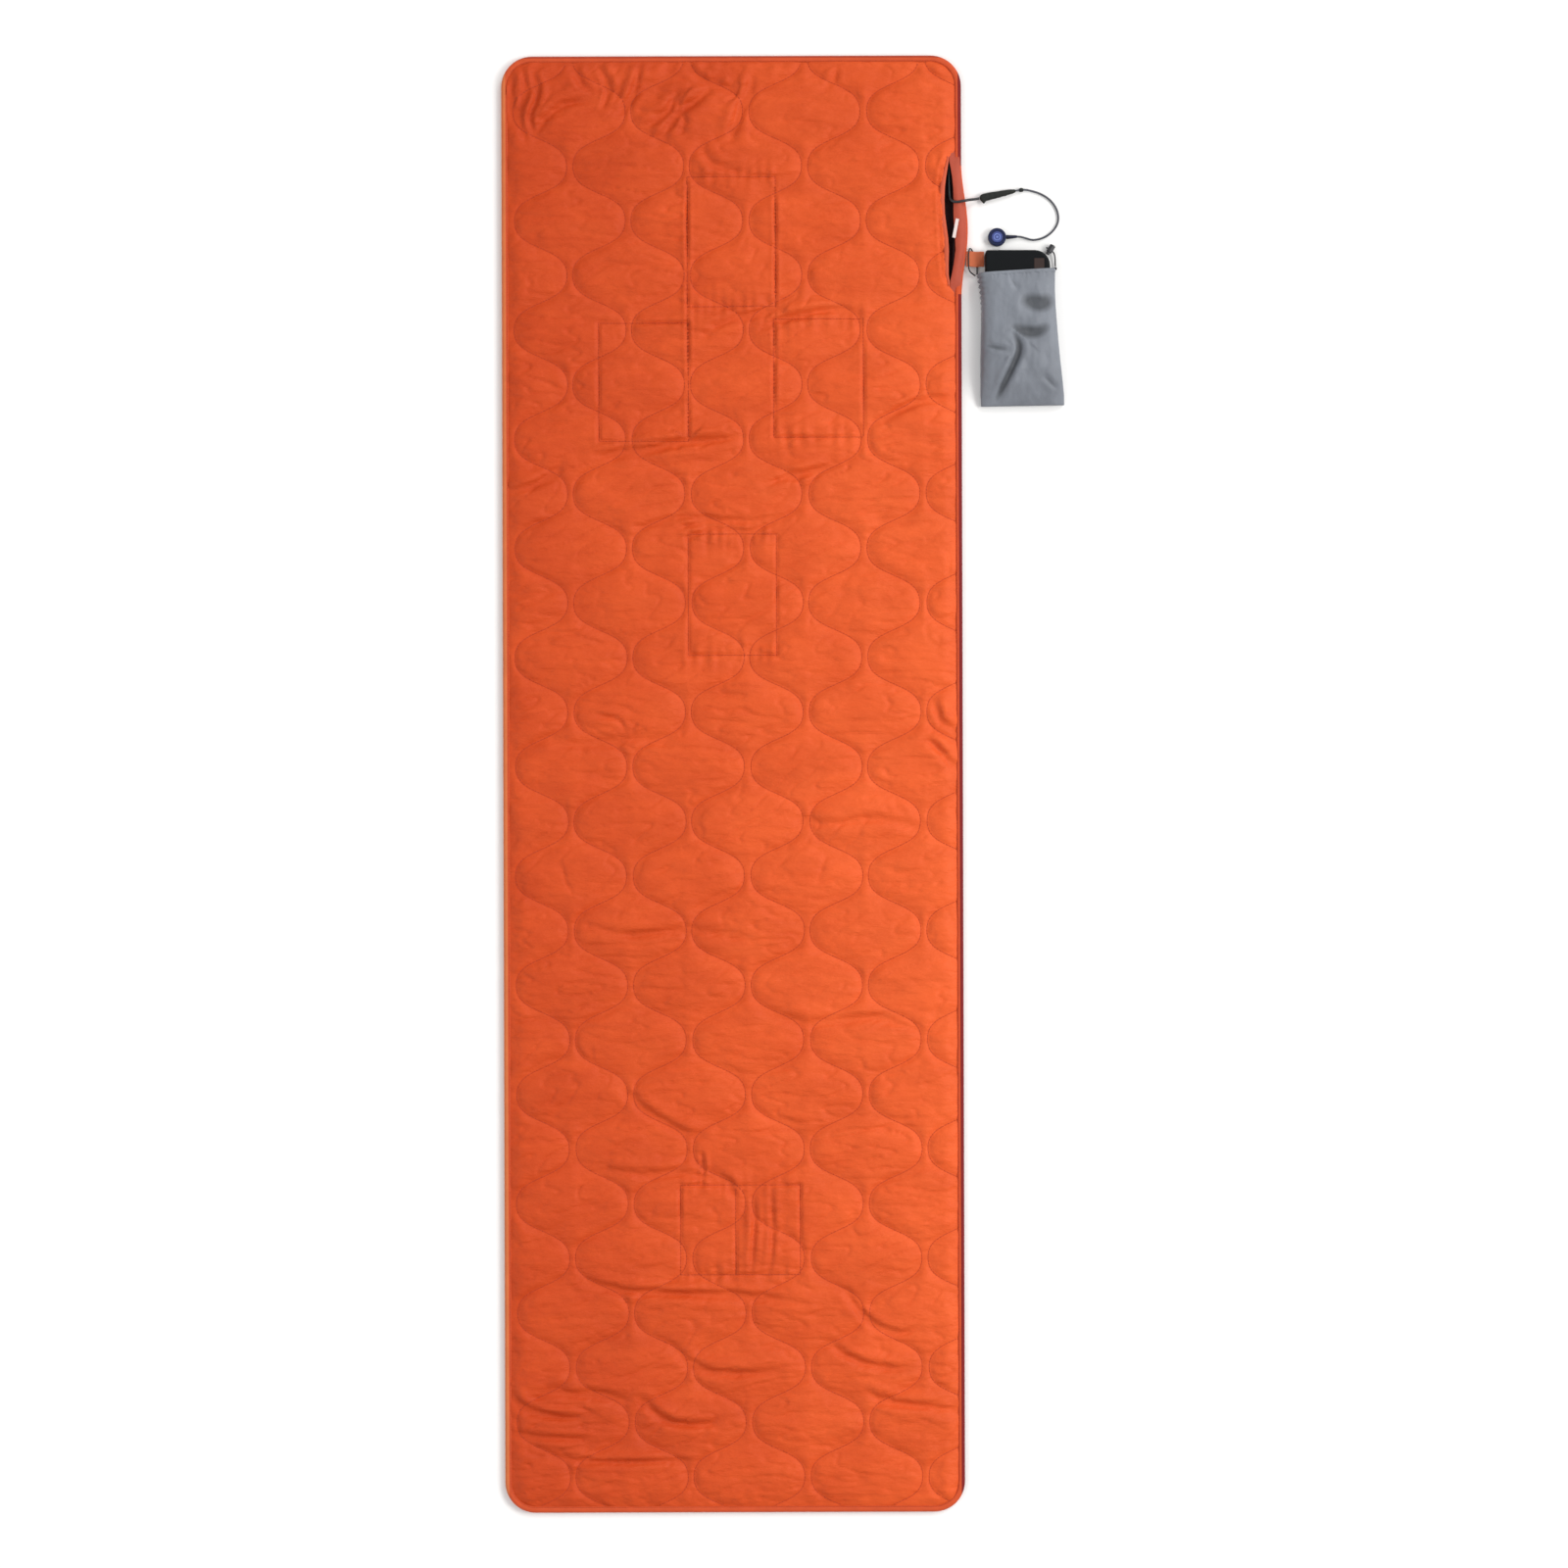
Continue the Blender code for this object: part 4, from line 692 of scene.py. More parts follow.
# Folds in the cover, in mm: the points of the fold's line, its depth, its half width
FOLDS = [
    ([(-176, 428), (-110, 436), (-70, 444), (-20, 449), (10, 452)], 5.2, 5.0),
    ([(-195, -649), (-150, -659), (-80, -664), (0, -667), (60, -672), (92, -676)], 4.6, 4.5),
    ([(40, 592), (60, 604), (95, 612), (130, 617), (165, 613)], 4.2, 4.5),
    ([(-35, 588), (-10, 601), (20, 610), (60, 618)], 3.6, 4.0),
    ([(-292, -792), (-276, -812), (-240, -822), (-200, -826)], 4.8, 4.5),
    ([(-250, -785), (-215, -795), (-170, -797), (-140, -805)], 3.6, 6.0),
    ([(-290, -846), (-240, -851), (-185, -853)], 3.0, 4.0),
    ([(-240, -876), (-170, -883), (-95, -882), (-60, -882)], 3.4, 3.5),
    ([(-125, -800), (-100, -822), (-70, -834), (-20, -832)], 4.0, 5.0),
    ([(-80, -738), (-45, -762), (0, -768), (60, -764)], 4.0, 5.0),
    ([(120, -728), (160, -752), (205, -762), (230, -760)], 3.4, 4.5),
    ([(170, -790), (200, -806), (250, -812), (288, -818)], 4.4, 5.0),
    ([(142, -660), (175, -700), (215, -716), (240, -708)], 3.6, 4.0),
    ([(-110, 855), (-95, 868), (-80, 880), (-70, 905)], 4.0, 5.0),
    ([(-95, 835), (-70, 872), (-40, 895), (-20, 915)], 4.4, 6.0),
    ([(0, 838), (8, 870), (22, 900), (30, 925)], 3.6, 5.0),
    ([(-255, 848), (-240, 870), (-215, 886), (-180, 892)], 3.2, 5.0),
    ([(-40, 838), (-28, 812), (0, 800), (30, 795)], 2.8, 5.0),
    ([(-80, 328), (-50, 339), (0, 344), (28, 342)], 3.0, 4.0),
    ([(40, 390), (75, 400), (120, 412), (132, 418)], 3.4, 4.5),
    ([(-290, 380), (-262, 388), (-236, 402), (-222, 420)], 3.2, 5.0),
    ([(190, 470), (230, 492), (258, 500), (290, 505)], 3.6, 4.5),
    ([(-150, -395), (-110, -428), (-70, -452), (-30, -465)], 3.0, 5.0),
    ([(-180, -500), (-120, -508), (-60, -508), (-10, -522)], 2.6, 5.0),
    ([(-20, -512), (-8, -520), (0, -540)], 3.6, 5.0),
    ([(-250, 60), (-180, 52), (-120, 60), (-60, 48)], 2.4, 6.0),
    ([(60, -40), (120, -52), (190, -46), (250, -60)], 2.4, 6.0),
    ([(287, 821), (279, 816), (272, 797), (270, 765), (271, 735), (273, 695), (275, 665), (281, 650),
      (289, 645)], 1.7, 1.6),
    ([(-272, 938), (-268, 905), (-276, 872), (-268, 838)], 4.2, 4.0),
    ([(-258, 930), (-252, 900), (-262, 868), (-252, 845)], 3.4, 3.5),
    ([(-284, 925), (-286, 890), (-280, 860)], 3.2, 3.5),
    ([(-205, 936), (-196, 915), (-178, 902)], 3.0, 4.0),
    ([(-172, 938), (-160, 908), (-168, 880)], 3.2, 4.0),
    ([(-118, 936), (-126, 905), (-140, 880), (-150, 872)], 3.8, 4.0),
    ([(-58, 930), (-30, 912), (0, 905)], 3.0, 5.0),
    ([(-75, 900), (-62, 868), (-66, 846)], 2.6, 5.0),
    ([(140, 935), (132, 915), (120, 905)], 2.4, 4.0),
    ([(-42, -480), (-40, -500), (-41, -521)], 3.4, 2.2),
    ([(24, -526), (26, -575), (22, -636)], 2.6, 3.0),
    ([(48, -526), (50, -580), (47, -634)], 2.2, 3.0),
    ([(-57, 800), (-58, 700), (-57, 455)], 2.0, 1.8),
    ([(55, 800), (57, 700), (56, 460)], 2.0, 1.8),
    ([(-125, 335), (-60, 348), (10, 342), (60, 350)], 2.6, 3.0),
    ([(-60, 318), (-30, 332), (20, 330), (48, 338)], 2.6, 3.0),
    ([(252, 60), (272, 40), (286, 22)], 3.2, 4.5),
    ([(262, 110), (270, 84), (288, 70)], 3.2, 4.5),
    ([(-180, 90), (-150, 84), (-140, 70)], 2.4, 3.0),
    ([(-200, -180), (-140, -196), (-60, -190), (20, -204)], 2.6, 6.0),
    ([(40, -300), (110, -312), (180, -306), (240, -320)], 2.6, 6.0),
]

# Heater pads and how hard the stitching gathers the cover at their head and foot ends, in mm
PULLS = [
    ("heater_upper_back", 2.2, 2.6), ("heater_left_shoulder", 0.6, 0.8), ("heater_right_shoulder", 2.4, 2.4),
    ("heater_lumbar", 3.2, 2.6), ("heater_feet", 1.6, 2.4),
]
PULL_GAIN = 2.4
PULL_REACH = 11 * MM
CREASE = 2.6 * MM
SEAM_SINK = 1.3 * MM
SEAM_GROOVE = 2.2 * MM
FOLD_GAIN = 1.5
HEATER_TOP = 9.75 * MM
TILT = np.array(Matrix.Rotation(math.radians(24), 3, "Z"))


def tree_of(points):
    """A search tree over points in plan."""
    tree = KDTree(len(points))
    for index, (x, y) in enumerate(points):
        tree.insert((x, y, 0), index)
    tree.balance()
    return tree


def fold_samples():
    """Points along every fold, with its depth, its half width, and how much of it there is there."""
    points, depths, widths, rises = [], [], [], []
    for line, depth, half in FOLDS:
        fine, _ = smooth_line([Vector((x, y, 0)) * MM for x, y in line], 60)
        for k, p in enumerate(fine):
            points.append((p.x, p.y))
            depths.append(depth * MM)
            widths.append(half * MM)
            rises.append(math.sin(math.pi * (k + 1) / (len(fine) + 1)) ** 0.6)
    return points, np.array(depths), np.array(widths), np.array(rises)


def panel_grid(columns, rows):
    """A grid over the panel's plan, with its points in rows by columns."""
    bm = bmesh.new()
    bmesh.ops.create_grid(bm, x_segments=columns, y_segments=rows, size=0.5)
    bm.verts.ensure_lookup_table()
    order = sorted(bm.verts, key=lambda v: (round(v.co.y, 6), round(v.co.x, 6)))
    index = np.array([v.index for v in order]).reshape(rows + 1, columns + 1)
    plan = np.zeros((rows + 1, columns + 1, 3))
    top = HALF_LENGTH - EDGE_INSET
    for j in range(rows + 1):
        y = -top + 2 * top * j / rows
        x0, x1 = left_side(y, EDGE_INSET), panel_right(y)
        plan[j, :, 0] = np.linspace(x0, x1, columns + 1)
        plan[j, :, 1] = y
    return bm, index, plan


def snap_to_seams(plan, samples):
    """Moves the nearest grid point onto each stretch of seam. Returns which points were moved."""
    rows, columns, _ = plan.shape
    flat = plan.reshape(-1, 3)
    tree = KDTree(len(flat))
    for index, p in enumerate(flat):
        tree.insert((p[0], p[1], 0), index)
    tree.balance()
    best = {}
    for x, y in samples:
        _, index, far = tree.find((x, y, 0))
        if far < best.get(index, (0.62 * GRID_STEP,))[0]:
            best[index] = (far, x, y)
    held = np.zeros(rows * columns, bool)
    for index, (_, x, y) in best.items():
        j, i = divmod(index, columns)
        if 0 < j < rows - 1 and 0 < i < columns - 1:
            flat[index][0] = x
            flat[index][1] = y
            held[index] = True
    return held.reshape(rows, columns)


def relax(plan, held, rounds):
    """Evens out the free points of the grid between the held ones."""
    free = ~held
    free[0, :] = free[-1, :] = free[:, 0] = free[:, -1] = False
    for _ in range(rounds):
        middle = plan.copy()
        middle[1:-1, 1:-1] = (plan[:-2, 1:-1] + plan[2:, 1:-1] + plan[1:-1, :-2] + plan[1:-1, 2:]) / 4
        plan[free, :2] = 0.5 * plan[free, :2] + 0.5 * middle[free, :2]


def distances(tree, points):
    """Each point's distance in plan to the nearest point of a tree, and which one that is."""
    found = [tree.find((x, y, 0))[1:] for x, y, _ in points]
    return np.array([far for _, far in found]), np.array([index for index, _ in found])


def waves(points, across, along, seed):
    """Smooth noise over the plan, with its grain in waves a metre."""
    return np.array([noise.noise(Vector((x * across, y * along, seed))) for x, y, _ in points])


def base_heights(points):
    """The seams' own height, which falls away towards the binding."""
    share = np.clip(from_border(points[:, 0], points[:, 1]) / (18 * MM), 0, 1)
    return EDGE_Z + (SEAM_Z - EDGE_Z) * np.sin(share * math.pi / 2)


def puff_heights(points, seam_far):
    """How far the padding lifts each point above the seams."""
    share = np.clip(from_border(points[:, 0], points[:, 1]) / (16 * MM), 0, 1)
    return PUFF * (1 - np.exp(-1.8 * seam_far / PUFF_REACH)) * share


def dip(far, reach):
    """A smooth bump of height 1 that is gone by about twice its reach."""
    return np.exp(-(far / reach) ** 2)


def carve(points, seam_far):
    """Works seams, creases, heater outlines, folds and puckers into the puffed cover."""
    base = base_heights(points)
    x, y, z = points.T
    border = from_border(x, y)
    free = (1 - dip(seam_far, 5 * MM)) * np.clip(border / (10 * MM), 0, 1)

    # Sharp little creases, mostly across the mat and in patches, and a soft unevenness
    patch = np.clip(0.5 + 1.6 * waves(points, 7, 6, 11.0), 0, 1)
    creases = np.clip(1 - np.abs(waves(points, 15, 62, 2.0)) / 0.10, 0, 1)
    z -= CREASE * creases * patch * free
    slanted = np.clip(1 - np.abs(waves(points @ TILT, 16, 48, 5.0)) / 0.09, 0, 1)
    z -= 0.8 * CREASE * slanted * (1 - patch) * free
    z += 2.3 * MM * waves(points, 18, 34, 8.0) * free
    z += 0.8 * MM * waves(points, 60, 110, 9.0) * free
    z -= SEAM_SINK * dip(seam_far, SEAM_GROOVE)

    # Heater outlines, gathered where their threads pull
    outline_far, _ = distances(tree_of([p for loop in heater_loops() for p in loop]), points)
    z -= 0.85 * np.maximum(z - base, 0) * dip(outline_far, 2.1 * MM)
    for name, head_pull, foot_pull in PULLS:
        low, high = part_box(name)
        inside = np.clip((np.minimum(x - low.x, high.x - x) + 12 * MM) / (14 * MM), 0, 1)
        gather = waves(points, 105, 16, low.x + 3) * inside
        for edge, pull in ((high.y, head_pull), (low.y, foot_pull)):
            far = np.abs(y - edge)
            fading = np.exp(-far / PULL_REACH) * (1 - dip(far, 1.5 * MM))
            z += PULL_GAIN * pull * MM * gather * fading

    # Named folds: a groove with a ridge beside it, taller on the side towards the head
    line, depths, widths, rises = fold_samples()
    fold_far, fold_at = distances(tree_of(line), points)
    depth, reach = depths[fold_at], widths[fold_at]
    above = np.where(y > np.array(line)[fold_at][:, 1], 1.0, 0.5)
    ridge = dip(fold_far - 2.3 * reach, 1.5 * reach)
    z += FOLD_GAIN * depth * rises[fold_at] * (0.65 * ridge * above - dip(fold_far, reach))

    # Gathers that run in from the binding
    end = HALF_LENGTH - EDGE_INSET - np.abs(y)
    flank = np.minimum(x - left_side(y, EDGE_INSET), right_side(y, EDGE_INSET) - x)
    slant = np.column_stack([x + 0.35 * end, np.sign(y) * 3 + end * 0.2, z])
    crowd = np.where(y > 0, 0.7 + 1.3 * dip(x + 95 * MM, 130 * MM), 0.8)
    for far, tall, reach, grain in (
        (end, 3.4 * MM * crowd, 24 * MM, waves(slant, 58, 30, 4.0)),
        (flank, 1.8 * MM, 16 * MM, waves(points, 12, 55, 6.0)),
    ):
        z += tall * grain * np.exp(-far / reach) * np.clip(far / (5 * MM), 0, 1)

    # Nothing sinks into the heaters, or far below the seams
    floor = np.where(border < 20 * MM, base - 0.5 * MM, HEATER_TOP)
    np.maximum(z, np.minimum(floor, base - 0.1 * MM), out=z)
    return points


def coordinates(mesh):
    """The mesh's points as rows of x, y and z."""
    flat = np.zeros(len(mesh.vertices) * 3)
    mesh.vertices.foreach_get("co", flat)
    return flat.reshape(-1, 3)


CLOTH_FRAMES = 18
CLOTH_SETTINGS = {
    "quality": 4, "mass": 0.15, "air_damping": 4,
    "tension_stiffness": 12, "compression_stiffness": 12, "shear_stiffness": 4, "bending_stiffness": 0.15,
    "tension_damping": 8, "compression_damping": 8,
    "vertex_group_mass": "seams", "pin_stiffness": 1.0,
    "use_pressure": True, "uniform_pressure_force": 0.9,
}


def simulate_cover(cover, cut_size, held):
    """Lets the cover, cut a little larger than its seams allow, puff and wrinkle between them."""
    cover.shape_key_add(name="sewn")
    larger = cover.shape_key_add(name="cut_size")
    larger.data.foreach_set("co", cut_size.reshape(-1))
    larger.value = 0
    pins = cover.vertex_groups.new(name="seams")
    pins.add([int(k) for k in np.nonzero(held)[0]], 1.0, "REPLACE")
    cloth = cover.modifiers.new("cloth", "CLOTH")
    for setting, value in CLOTH_SETTINGS.items():
        setattr(cloth.settings, setting, value)
    cloth.settings.rest_shape_key = larger
    cloth.settings.effector_weights.gravity = 0
    cloth.collision_settings.use_collision = False
    cloth.collision_settings.use_self_collision = False
    scene = bpy.context.scene
    scene.frame_start = 1
    scene.frame_end = CLOTH_FRAMES
    cloth.point_cache.frame_start = 1
    cloth.point_cache.frame_end = CLOTH_FRAMES
    for step in range(1, CLOTH_FRAMES + 1):
        scene.frame_set(step)
    graph = bpy.context.evaluated_depsgraph_get()
    points = coordinates(cover.evaluated_get(graph).data)
    cover.modifiers.remove(cloth)
    cover.shape_key_clear()
    cover.vertex_groups.clear()
    scene.frame_set(1)
    return points


def capped(points, start, base, most):
    """Keeps the settled cover near where it was sewn, and above its seams."""
    moved = points - start
    far = np.linalg.norm(moved, axis=1, keepdims=True)
    scale = np.minimum(1.0, most / np.maximum(far, 1e-9))
    points = start + moved * scale
    points[:, 2] = np.clip(points[:, 2], base - 0.2 * MM, base + TALLEST_PUFF)
    return points


def make_quilted_top():
    """The padded cover: sewn down along its seams, puffed, simulated, and then creased."""
    columns = round(2 * HALF_WIDTH / GRID_STEP)
    rows = round(2 * HALF_LENGTH / GRID_STEP)
    bm, index, plan = panel_grid(columns, rows)
    samples = [p for run in seam_runs() for p in run]
    seams = tree_of(samples)
    held = snap_to_seams(plan, samples)
    relax(plan, held, 8)
    held[0, :] = held[-1, :] = held[:, 0] = held[:, -1] = True

    order = index.reshape(-1)
    start = np.zeros((len(order), 3))
    start[order] = plan.reshape(-1, 3)
    fixed = np.zeros(len(order), bool)
    fixed[order] = held.reshape(-1)
    low = base_heights(start)
    start[:, 2] = low + puff_heights(start, distances(seams, start)[0]) * ~fixed

    cover = link_mesh(bm, "quilted_top", finish("cover"))
    cover.data.vertices.foreach_set("co", start.reshape(-1))
    cover.data.update()
    settled = simulate_cover(cover, start * np.array(CUT_LARGER), fixed)
    settled = capped(settled, start, low, MOST_MOVE)
    cover.data.vertices.foreach_set("co", settled.reshape(-1))
    cover.data.update()
    smooth = cover.modifiers.new("smooth", "SUBSURF")
    smooth.levels = smooth.render_levels = 1
    cover = applied(cover)
    points = coordinates(cover.data)
    points = carve(points, distances(seams, points)[0])
    cover.data.vertices.foreach_set("co", points.reshape(-1))
    cover.data.update()
    cover.data.shade_smooth()
    return cover


def surface_tree(piece):
    """For finding how high the piece's surface is."""
    bm = bmesh.new()
    bm.from_mesh(piece.data)
    tree = BVHTree.FromBMesh(bm)
    bm.free()
    return tree


def height_on(tree, x, y, default):
    hit = tree.ray_cast(Vector((x, y, 0.1)), Vector((0, 0, -1)), 0.2)[0]
    return hit.z if hit else default


STITCH_LIFT = 0.15 * MM


def make_stitches(name, lines, pitch, length, width, surface, default):
    """Stitches laid end to end along lines on the cover, each a small body of its own."""
    whole = bmesh.new()
    lying = Matrix.Rotation(math.pi / 2, 4, "Y")
    for line in lines:
        bm = bmesh.new()
        flat = [Vector((x, y, 0)) for x, y in line]
        walked, wanted = 0.0, pitch / 2
        for p, q in zip(flat, flat[1:]):
            gap = (q - p).length
            while walked + gap >= wanted and gap > 0:
                spot = p.lerp(q, (wanted - walked) / gap)
                spot.z = height_on(surface, spot.x, spot.y, default) + STITCH_LIFT
                heading = Matrix.Rotation(math.atan2(q.y - p.y, q.x - p.x), 4, "Z")
                bmesh.ops.create_cone(bm, cap_ends=True, segments=5, radius1=width / 2, radius2=width / 2,
                                      depth=length, matrix=Matrix.Translation(spot) @ heading @ lying)
                wanted += pitch
            walked += gap
        run = bpy.data.meshes.new("run")
        bm.to_mesh(run)
        bm.free()
        whole.from_mesh(run)
        bpy.data.meshes.remove(run)
    return link_mesh(whole, name, finish("thread"))


# ---------------------------------------------------------------- rest of the mat

def edge_line(inset, step=4 * MM):
    """Points round the mat's edge, anticlockwise, with the way out at each."""
    line = []
    straight_x, straight_y = HALF_WIDTH - CORNER, HALF_LENGTH - CORNER
    radius = CORNER - inset

    def run(a, b, out):
        count = max(1, int((b - a).length / step))
        for k in range(count):
            line.append((a.lerp(b, k / count), out))

    def turn(centre, start):
        count = max(6, int(radius * math.pi / 2 / step))
        for k in range(count):
            angle = start + math.pi / 2 * k / count
            out = Vector((math.cos(angle), math.sin(angle), 0))
            line.append((centre + out * radius, out))

    for quarter, (x, y) in enumerate([(1, 0), (0, 1), (-1, 0), (0, -1)]):
        out = Vector((x, y, 0))
        reach = Vector((-y * straight_x, x * straight_y, 0))
        edge = Vector((x * (HALF_WIDTH - inset), y * (HALF_LENGTH - inset), 0))
        run(edge - reach, edge + reach, out)
        turn(Vector((x * straight_x, y * straight_y, 0)) + reach, quarter * math.pi / 2)
    return [(p + Vector((swell(p.y) if p.x > 0 else 0, 0, 0)), out) for p, out in line]


# The tape's section, from its lower inner edge round the outside to its upper inner edge, in mm:
# how far in from the mat's edge, and how high
TAPE_SECTION = [
    (8.6, 0.45), (6.0, 0.15), (3.2, 0.1), (1.4, 0.6), (0.35, 2.2), (0.0, 4.6), (0.4, 7.0), (1.6, 8.7),
    (3.6, 9.5), (6.2, 9.5), (8.0, 9.0), (8.8, 8.55),
]


TAPE_STEPS = 22


def make_binding():
    """The folded tape round the mat's edge, a little rippled on top."""
    line = edge_line(0.0)
    count = len(line)
    section, _ = smooth_line([Vector((inset, z, 0)) for inset, z in TAPE_SECTION], TAPE_STEPS)

    def place(s, t):
        p, out = line[round(t * count) % count]
        spot = section[round(s * TAPE_STEPS)]
        ripple = noise.noise(Vector((p.x * 40, p.y * 40, 1.0)))
        fine = noise.noise(Vector((p.x * 150, p.y * 150, 3.0)))
        top = max(0.0, spot.y - 5.0) / 4.5
        inset = spot.x * MM + (0.5 * ripple + 0.25 * fine) * MM * (spot.x / 8.6) * top
        z = spot.y * MM + (0.45 * ripple + 0.3 * fine) * MM * top
        return p - out * inset + Vector((0, 0, z))

    tape = shaped_sheet("binding_tape", TAPE_STEPS, count, place, finish("binding"), wrap=True)
    return thicken(tape, 0.45 * MM, -1)


def make_back():
    """The back cover, quilted by the same seams, flat where it lies and drawn up at them."""
    columns, rows = 96, 300
    samples = [p for run in seam_runs() for p in run]
    tree = tree_of(samples)
    top = HALF_LENGTH - EDGE_INSET

    def place(s, t):
        y = -top + 2 * top * t
        x0, x1 = left_side(y, EDGE_INSET), right_side(y, EDGE_INSET)
        x = x0 + (x1 - x0) * s
        far = tree.find((x, y, 0))[2]
        edge = min(x - x0, x1 - x, top - abs(y))
        up = 1.35 * MM * math.exp(-far / (5 * MM))
        rim = 0.7 * MM * math.exp(-edge / (6 * MM))
        fine = 0.25 * MM * (1 + noise.noise(Vector((x * 45, y * 70, 7.0))))
        return Vector((x, y, 0.02 * MM + max(up, rim) + fine * min(1, far / (8 * MM))))

    back = shaped_sheet("quilted_back", columns, rows, place, finish("back"))
    return thicken(back, 0.3 * MM, 1)


def make_wadding():
    """The batting, between the covers, with room for the pocket bag and the lead's gland."""
    low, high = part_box("batting")
    z0, z1 = 2.4 * MM, high.z
    bm = bmesh.new()
    bmesh.ops.create_cube(bm, size=1)
    bm.transform(Matrix.Translation((0, 0, (z0 + z1) / 2))
                 @ Matrix.Diagonal((-2 * low.x, 2 * high.y, z1 - z0, 1)))
    upright = [e for e in bm.edges if abs(e.verts[0].co.z - e.verts[1].co.z) > MM]
    bmesh.ops.bevel(bm, geom=upright, offset=27 * MM, offset_type="OFFSET", affect="EDGES", segments=6,
                    profile=0.5, material=-1)
    wadding = link_mesh(bm, "wadding", finish("wadding"), smooth=False)
    cutters = []
    for node, past_side in (("pocket_bag", 60 * MM), ("lead_gland", 0)):
        near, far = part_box(node)
        cutter_bm = bmesh.new()
        bmesh.ops.create_cube(cutter_bm, size=1)
        size = Vector((far.x - near.x + 0.6 * MM + past_side, far.y - near.y + 0.6 * MM, 0.05))
        centre = (near + far) / 2 + Vector((past_side / 2, 0, 0))
        cutter_bm.transform(Matrix.Translation(centre) @ Matrix.Diagonal((*size, 1)))
        cutters.append(link_mesh(cutter_bm, "room_for_" + node, finish("wadding"), smooth=False))
        away = wadding.modifiers.new(node, "BOOLEAN")
        away.operation = "DIFFERENCE"
        away.object = cutters[-1]
    wadding = applied(wadding)
    for cutter in cutters:
        bpy.data.objects.remove(cutter, do_unlink=True)
    return wadding


def make_facing():
    """The salmon strip between the slit's right lip and the binding, rolled up at the lip."""
    low_y, high_y = SLIT_Y - 98 * MM, SLIT_Y + 98 * MM

    def place(s, t):
        y = low_y + (high_y - low_y) * t
        under = min(1.0, max(0.0, (abs(y - SLIT_Y) - 80 * MM) / (16 * MM)))
        under = under * under * (3 - 2 * under)
        shut = 1 - under
        edge = float(right_side(y, (1.8 + 6.6 * under) * MM))
        lip = max(lips_at(y)[1], float(panel_right(y)) - 2.5 * MM)
        lip = min(lip, edge - 0.5 * MM)
        x = lip + (edge - lip) * s
        body = math.sin(math.pi * min(1, s * 1.12)) ** 0.7
        open_here = max(0.0, 1 - (abs(y - SLIT_Y) / (84 * MM)) ** 4)
        crest = 3.2 * MM * body * open_here
        roll = 1.2 * MM * math.exp(-s * 7) * open_here
        pleat = 1.5 * MM * noise.noise(Vector((x * 60, y * 34, 5.0))) * body
        flat = (10.5 - 0.7 * s) * MM
        z = 8.4 * MM * under + (flat + crest + roll + pleat) * shut
        return Vector((x, y, z))

    strip = shaped_sheet("pocket_facing", 14, 120, place, finish("facing"))
    return thicken(strip, 0.5 * MM, -1, 1)


def make_welt():
    """The folded welt along the slit's left lip: a soft roll that narrows at both ends."""
    low_y, high_y = SLIT_Y - 84 * MM, SLIT_Y + 84 * MM

    def place(s, t):
        y = low_y + (high_y - low_y) * t
        lip = lips_at(y)[0]
        fade = max(0.02, 1 - abs(2 * t - 1) ** 3)
        wide = 7.0 * MM * (0.35 + 0.65 * fade)
        angle = 2 * math.pi * s
        x = lip - wide / 2 + wide / 2 * math.cos(angle)
        tall = 1.5 * MM * (0.4 + 0.6 * fade)
        z = 11.9 * MM + tall * math.sin(angle) + 0.3 * MM * noise.noise(Vector((3, y * 60, 1)))
        return Vector((x, y, z))

    return closed(shaped_sheet("slit_welt", 16, 90, place, finish("welt"), wrap=True))


def make_label():
    """A small blank tape, sewn in at its lower end and curling up a little."""
    low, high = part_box("care_label")
    centre = (low + high) / 2
    turn = Matrix.Rotation(math.radians(-11), 4, "Z")

    def place(s, t):
        curl = 1.6 * MM * t * t + 0.5 * MM * math.cos(s * math.pi)
        spot = Vector(((s - 0.5) * 4.4 * MM, (t - 0.5) * 25 * MM, curl))
        return turn @ spot + Vector((centre.x, centre.y, centre.z + 2.9 * MM))

    return thicken(shaped_sheet("blank_label", 6, 22, place, finish("label")), 0.3 * MM, 0)


def make_tab():
    """The webbing tab, drooping from the seam towards the floor."""
    low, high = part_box("webbing_tab")

    def place(s, t):
        x = low.x - 0.9 * MM + (high.x - low.x + 0.9 * MM) * s
        y = low.y + (high.y - low.y) * t + 0.25 * MM * math.sin(s * 9)
        droop = 3.4 * MM * s * s * (3 - 2 * s)
        sag = 0.35 * MM * math.sin(2 * math.pi * t) + 0.3 * MM * noise.noise(Vector((x * 90, y * 90, 2)))
        return Vector((x, y, high.z - droop + sag * s))

    return thicken(shaped_sheet("tab_webbing", 26, 18, place, finish("webbing")), 1.3 * MM, -1)


# ---------------------------------------------------------------- cords

